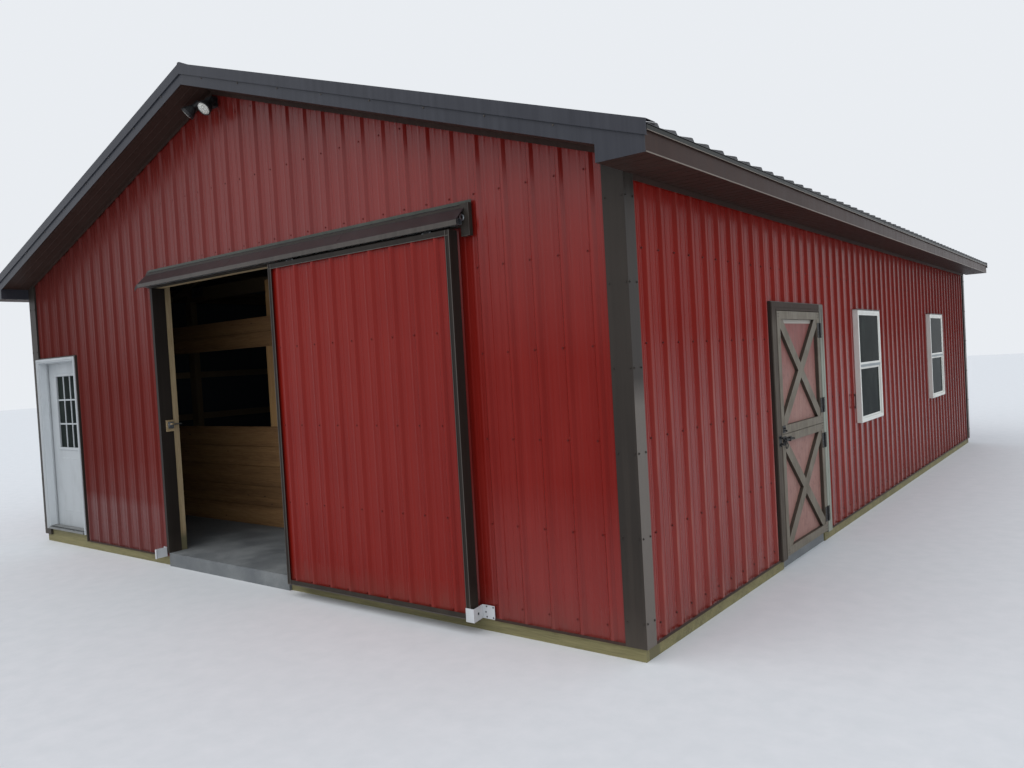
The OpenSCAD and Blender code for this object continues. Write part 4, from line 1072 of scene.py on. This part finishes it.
hook_at = (face_x, lower[0].y, upper[0].z + 0.034)
hook = Shape()
hook.boxes(hook_at, [(0.0, 0.010, -0.024, 0.004, 0.080, 0.040)])
for along, rise in ((0.030, 0.018), (0.062, -0.006)):
    iron_knob(hook, hook_at, (0.004, along, rise), 0.7)
make("upper_leaf_latch", hook, BLACK_IRON, body="upper_stable_leaf", bevel=0.0012)

# Screws in the hinges' leaves on both sides of each pin
hinge_screws = {body: Shape() for body in ("building", "upper_stable_leaf", "lower_stable_leaf")}
HINGE_ROWS = [("upper_stable_leaf", upper, 0.171, 0.173), ("lower_stable_leaf", lower, 0.163, 0.1665)]
for body, box, above_foot, below_head in HINGE_ROWS:
    for z in (box[0].z + above_foot, box[1].z - below_head):
        for rise in (-0.055, 0.0, 0.055):
            for carrier, y in ((body, box[1].y - 0.040), ("building", box[1].y + 0.042)):
                at = facing((face_x + 0.003, y, z + rise), ALONG_SIDE)
                hinge_screws[carrier].disc_stack(at, NAIL_HEAD, 8)
for body, shape in hinge_screws.items():
    make(body + "_hinge_screws", shape, DOOR_METAL, body=body)


# Sliding door and its track

door_l = SLIDER[0].x + TRIM_T
door_r = SLIDER[1].x - TRIM_T
door_low = SLIDER[0].z + TRIM_T
door_high = SLIDER[1].z - TRIM_T
door_face = -SLIDER[0].y
DOOR = facing((0, -(door_face - SKIN + SHEET_T), 0), ALONG_FRONT)
DOOR_LAP = 0.038
BEAD_W = 0.006
door_edges = (door_l + DOOR_LAP, door_r - DOOR_LAP)
door_majors = rows_between(door_l + RIB_PITCH / 2, door_r - RIB_FOOT / 2, RIB_PITCH)


def door_top(u):
    return door_high - DOOR_LAP


door_ribs = Shape()
minor_ribs(door_ribs, DOOR, door_majors, door_edges, door_low + DOOR_LAP, door_top, [])
make("sliding_door_minor_ribs", door_ribs, DOOR_STEEL, body="sliding_door")
door_heads = Shape()
rail_step = (door_high - door_low - LUMBER_W) / 4
rail_rows = [door_low + LUMBER_W / 2 + i * rail_step for i in range(4)]
screw_rows(door_heads, DOOR, door_majors, rail_rows + [door_high - 0.070], door_edges, door_top, [])
make("sliding_door_screws", door_heads, DOOR_SCREW_PAINT, body="sliding_door")

# Beads along both edges of the door's folded trim
beads = Shape()
slider_l, slider_r, slider_low, slider_high = front_span(SLIDER)
for left, right in ((slider_l, slider_l + 0.007), (door_edges[0] - BEAD_W, door_edges[0]),
                    (slider_r - 0.007, slider_r), (door_edges[1], door_edges[1] + BEAD_W)):
    beads.box((left, -door_face - 0.003, slider_low), (right, -door_face, slider_high))
lap_low = door_high - DOOR_LAP
for low, high in ((slider_low, slider_low + 0.007), (lap_low, lap_low + BEAD_W)):
    beads.box((slider_l, -door_face - 0.0028, low), (slider_r, -door_face, high))
make("sliding_door_beads", beads, TRIM_EDGE, body="sliding_door", bevel=0.0008)

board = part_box("track_board")
cover_l, cover_r = COVER[0].x, COVER[1].x
lip_y = COVER[0].y
lip_low = COVER[0].z
LIP_H = 0.034
RIB_FACE_Y = board[1].y
FLANGE_Y = RIB_FACE_Y - TRIM_T
FLANGE_TOP = board[1].z + 0.022
SLOPE_TOP = board[1].z
SLOPE_FOOT = lip_low + LIP_H + TRIM_T


def cover_section(x, push=0.0, drop=0.0):
    """The cover's outline: a flange on the wall, the slope and the lip. A push bends it outwards."""
    out = lip_y - push
    return [
        (x, RIB_FACE_Y, FLANGE_TOP - drop), (x, FLANGE_Y, FLANGE_TOP - drop),
        (x, FLANGE_Y, SLOPE_TOP - drop), (x, out, SLOPE_FOOT - drop),
        (x, out, lip_low - drop), (x, out + TRIM_T, lip_low - drop),
        (x, out + TRIM_T, SLOPE_FOOT - 0.004 - drop), (x, RIB_FACE_Y, SLOPE_TOP - 0.005 - drop),
    ]


cover = Shape()
cover.sweep([cover_section(x) for x in (cover_l, cover_r)])
cover_steel = make("track_cover_steel", cover, COVER_PAINT)
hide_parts("track_cover")

# Painted highlight: a thin pale plate over the front of the cover's lip
lip = Shape()
lip_corner = (cover_l - 0.002, lip_y - 0.0015, lip_low - 0.002)
lip.box(lip_corner, (cover_r + 0.004, lip_y, lip_low + LIP_H + 0.002))
lip.box(lip_corner, (cover_r + 0.004, lip_y + 0.014, lip_low))
make("track_cover_lip", lip, TRIM_EDGE, bevel=0.0006)

flange = Shape()
flange.box((cover_l - 0.002, FLANGE_Y - 0.0012, SLOPE_TOP), (board[1].x, RIB_FACE_Y, FLANGE_TOP + 0.001))
make("track_cover_flange", flange, FLANGE_PAINT, bevel=0.0006)

flap = Shape()
FLAP_BENDS = [(0.0, 0.0, 0.0), (0.020, 0.004, 0.0), (0.042, 0.016, 0.002), (0.058, 0.034, 0.004)]
flap.sweep([cover_section(cover_l - out, push, drop) for out, drop, push in FLAP_BENDS])
make("track_cover_flap", flap, COVER_PAINT, smooth=True)

# Two places where the cover's lengths lap
LAP_W = 0.030
laps = Shape()
for x in (cover_l + 1.52, cover_l + 3.05):
    laps.sweep([[
        (u, FLANGE_Y - 0.001, SLOPE_TOP), (u, lip_y - 0.001, SLOPE_FOOT + 0.0004),
        (u, lip_y + 0.001, SLOPE_FOOT - 0.001), (u, FLANGE_Y + 0.001, SLOPE_TOP - 0.001),
    ] for u in (x, x + LAP_W)])
make("track_cover_laps", laps, COVER_PAINT)

# The track's rolled end shows at the right end of the cover
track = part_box("door_track")
roll = Shape()
roll_at = facing((track[1].x, (track[0].y + track[1].y) / 2 + 0.010, track[1].z + 0.008), ALONG_SIDE)
roll.turned_ring(roll_at, [(0.024, 0.0), (0.024, 0.005), (0.019, 0.006), (0.016, 0.0)], 28)
make("track_rolled_end", roll, GALVANISED, smooth=True)

hanger_bolts = Shape()
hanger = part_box("sliding_door_hangers")
HANGER_HALF = 0.055
BOLT = [(0.012, 0.0), (0.012, 0.002), (0.0075, 0.0022), (0.0075, 0.009), (0.004, 0.010)]
for x in (hanger[0].x + HANGER_HALF, hanger[1].x - HANGER_HALF):
    for offset in (-0.038, 0.038):
        at = Matrix.Translation((x + offset, (hanger[0].y + hanger[1].y) / 2, hanger[0].z + 0.006))
        hanger_bolts.disc_stack(at, BOLT, 6)
make("hanger_bolts", hanger_bolts, GALVANISED, body="sliding_door")

track_end = Shape()
end_x = board[1].x
track_end.box((end_x - 0.004, board[0].y - 0.002, board[0].z), (end_x, board[0].y, board[1].z))
track_end.box((end_x - 0.080, board[0].y - 0.0018, board[0].z), (end_x, board[0].y, board[0].z + 0.004))
make("track_end_beads", track_end, TRIM_EDGE, bevel=0.0006)

# Black fixings through the white guides
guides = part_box("door_guides")
guide_fixings = Shape()
GUIDE_DOT = [(0.0060, 0.0), (0.0060, 0.0015), (0.0038, 0.0020)]
GUIDE_SPOTS = [(0.012, 0.037), (0.072, 0.039), (0.080, -0.002), (0.072, -0.036), (0.012, -0.037)]
guide_mid = (guides[0].z + guides[1].z) / 2
fixings = [(guides[1].x - inset, rise) for inset, rise in GUIDE_SPOTS]
fixings += [(guides[0].x + inset + 0.012, rise) for inset, rise in GUIDE_SPOTS[::4]]
for x, rise in fixings:
    guide_fixings.disc_stack(facing((x, -HALF_L, guide_mid + rise), ALONG_FRONT), GUIDE_DOT, 12)

# The bolt through the right guide's leaning web
web_foot = Vector((guides[1].x - 0.110, -HALF_L, guide_mid))
web_nose = Vector((guides[1].x - 0.084, guides[0].y, guide_mid))
web_at = facing(web_foot.lerp(web_nose, 0.5), web_foot - web_nose)
guide_fixings.disc_stack(web_at, [(0.009, -0.001), (0.009, 0.003), (0.006, 0.004)], 12)
make("door_guide_fixings", guide_fixings, BLACK_IRON)

# The doorway's latch: a plate on the wooden block, the staple's two legs and a sliding bar
latch_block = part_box("jamb_latch")
block_l, block_r = latch_block[0].y, latch_block[1].y
block_z = latch_block[0].z
jamb_x = DOORWAY[0].x + 0.040
latch_iron = Shape()
for back, front, y_a, y_b, low, high in (
        (0.020, 0.023, block_l + 0.012, block_r - 0.012, 0.030, 0.100),
        (0.023, 0.034, block_l + 0.026, block_l + 0.034, 0.052, 0.094),
        (0.023, 0.034, block_r - 0.034, block_r - 0.026, 0.052, 0.094)):
    latch_iron.box((jamb_x + back, y_a, block_z + low), (jamb_x + front, y_b, block_z + high))
make("doorway_latch_plate", latch_iron, GALVANISED, bevel=0.001)
latch_rod = Shape()
rod_at = facing((jamb_x + 0.029, block_l + 0.010, block_z + 0.073), (0, 0, 1), (1, 0, 0))
latch_rod.disc_stack(rod_at, [(0.005, 0.0), (0.006, 0.002), (0.006, 0.150), (0.004, 0.153)], 14)
make("doorway_latch_bar", latch_rod, GALVANISED, smooth=True)


# Boards, trusses and lamps

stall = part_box("stall_boards")
STALL_LOW_TOP = 1.322
STALL_BEAM = 2.264
STALL_LEFT = stall[0].x + 0.280
STALL_RIGHT = stall[1].x - 0.140
random.seed(7)
planks = Shape()


def plank_rows(shape, left, right, low, high, count):
    """Boards laid one over the other, with thin gaps and slightly uneven faces."""
    step = (high - low) / count
    for i in range(count):
        ease = random.uniform(0.0, 0.003)
        bottom = low + i * step + 0.001
        shape.box((left, stall[0].y + ease, bottom), (right, stall[1].y, bottom + step - 0.0025))


plank_rows(planks, stall[0].x, stall[1].x, stall[0].z, STALL_LOW_TOP, 5)
plank_rows(planks, stall[0].x, STALL_LEFT, STALL_LOW_TOP, STALL_BEAM, 4)
plank_rows(planks, stall[0].x, stall[1].x, STALL_BEAM, stall[1].z, 2)
stall_planks = make("stall_planks", planks, STALL_PINE, bevel=0.003)
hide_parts("stall_boards")
upright = Shape()
upright.box((STALL_RIGHT, stall[0].y, STALL_LOW_TOP), (stall[1].x, stall[1].y, STALL_BEAM))
make("stall_upright", upright, STALL_UPRIGHT, bevel=0.003)

PLATE_T = 0.0016
TRUSS_ROWS = [-6.014] + [(i - 3) * 1.98767 for i in range(1, 6)] + [6.014]
PLATE_SPOTS = [(0.0, RIDGE_Z - 0.14, 0.20, 0.12), (0.0, EAVE_Z + 0.16, 0.15, 0.15)]
for x, z, wide, tall in ((3.92, EAVE_Z + 0.13, 0.30, 0.14), (2.03, 3.86, 0.16, 0.11),
                         (0.14, EAVE_Z + 0.17, 0.12, 0.12)):
    PLATE_SPOTS += [(x, z, wide, tall), (-x, z, wide, tall)]
plates = Shape()
for y in TRUSS_ROWS:
    for face in (-1, 1):
        at = y + face * BOARD_T / 2
        back, front = sorted((at, at + face * PLATE_T))
        for x, z, wide, tall in PLATE_SPOTS:
            plates.box((x - wide / 2, back, z - tall / 2), (x + wide / 2, front, z + tall / 2))
make("truss_plates", plates, GALVANISED)

LAMPS = [((0.087, -HALF_L - 0.150, 4.369), 47, 97), ((-0.187, -HALF_L - 0.150, 4.384), 48, 41)]
LENS_LEVELS = [(0.056, 0.0), (0.056, -0.003), (0.046, -0.009), (0.026, -0.013), (0.006, -0.014)]
RIM_SECTION = [(0.066, 0.010), (0.066, -0.004), (0.062, -0.007), (0.057, -0.004), (0.057, 0.010)]
LAMP_SIDES = 40
lenses = Shape()
rims = Shape()
for origin, lean, turn in LAMPS:
    aim = Matrix.Translation(origin) @ Matrix.Rotation(math.radians(turn), 4, "Z")
    aim = aim @ Matrix.Rotation(math.radians(lean), 4, "Y")
    lenses.disc_stack(aim, LENS_LEVELS, LAMP_SIDES)
    rims.turned_ring(aim, RIM_SECTION, LAMP_SIDES)
    for height in (0.034, 0.046, 0.058, 0.070):
        radius = 0.060 - (height - 0.022) * 0.5 + 0.006
        rims.disc_stack(aim, [(radius, height), (radius, height + 0.003)], 32)
make("lamp_lenses", lenses, LENS, smooth=True)
make("lamp_rims", rims, LAMP_BODY, smooth=True)


# Floor, light and camera

scene = bpy.context.scene
scene.view_settings.view_transform = "Standard"

FLOOR_HALF = 80.0
floor_look = Look("pale_floor", 0.9)
speck = floor_look.noise(6.0, detail=3)
floor_look.color(floor_look.two_tone(speck, 0.3, 0.7, (226, 227, 229), (220, 222, 224)))
floor_mesh = bpy.data.meshes.new("floor")
floor_corners = [(x * FLOOR_HALF, y * FLOOR_HALF, 0) for x, y in ((-1, -1), (1, -1), (1, 1), (-1, 1))]
floor_mesh.from_pydata(floor_corners, [], [(0, 1, 2, 3)])
floor_mesh.materials.append(floor_look.material)
floor = bpy.data.objects.new("floor", floor_mesh)
scene.collection.objects.link(floor)

# The camera, glossy and transmission rays see a pale backdrop, and the rest a soft light
world = bpy.data.worlds.new("studio")
scene.world = world
world.use_nodes = True
sky = world.node_tree
sky.nodes.clear()
path = add_node(sky, "LightPath", {})
seen = add_node(sky, "Math", {0: path["Is Camera Ray"], 1: path["Is Glossy Ray"]}, operation="MAXIMUM")
seen = add_node(sky, "Math", {0: seen[0], 1: path["Is Transmission Ray"]}, operation="MAXIMUM")
lighting = add_node(sky, "Background", {"Color": (0.86, 0.92, 1.0, 1.0), "Strength": 0.75})
backdrop = add_node(sky, "Background", {"Color": (0.86, 0.89, 0.93, 1.0), "Strength": 0.95})
either = add_node(sky, "MixShader", {0: seen[0], 1: lighting[0], 2: backdrop[0]})
add_node(sky, "OutputWorld", {0: either[0]})


def sun(name, strength, angle, direction, tint):
    data = bpy.data.lights.new(name, "SUN")
    data.energy = strength
    data.angle = math.radians(angle)
    data.color = tint
    lamp = bpy.data.objects.new(name, data)
    lamp.rotation_euler = Vector(direction).to_track_quat("-Z", "Y").to_euler()
    scene.collection.objects.link(lamp)


sun("soft_key", 0.9, 60, (0.25, 0.75, -1.0), (1.0, 0.98, 0.95))
sun("soft_fill", 0.5, 70, (-1.0, 0.25, -0.7), (0.95, 0.97, 1.0))

# The photograph's camera: position, direction, tilt and focal length
CAMERA_AT = Vector((6.712, -10.4615, 1.9185))
HEADING = -0.66
PITCH_ANGLE = -0.0272
ROLL = 0.0564
FOCAL = 28.41
SENSOR = 36.0

flat = math.cos(PITCH_ANGLE)
forward = Vector((math.sin(HEADING) * flat, math.cos(HEADING) * flat, math.sin(PITCH_ANGLE)))
level_right = forward.cross(Vector((0, 0, 1))).normalized()
level_down = forward.cross(level_right)
cam_right = math.cos(ROLL) * level_right + math.sin(ROLL) * level_down
cam_down = -math.sin(ROLL) * level_right + math.cos(ROLL) * level_down
camera_data = bpy.data.cameras.new("camera")
camera_data.lens = FOCAL
camera_data.sensor_width = SENSOR
camera_data.sensor_fit = "HORIZONTAL"
camera_data.clip_end = 400.0
camera = bpy.data.objects.new("camera", camera_data)
basis = Matrix((cam_right, -cam_down, -forward)).transposed().to_4x4()
basis.translation = CAMERA_AT
camera.matrix_world = basis
scene.collection.objects.link(camera)
scene.camera = camera
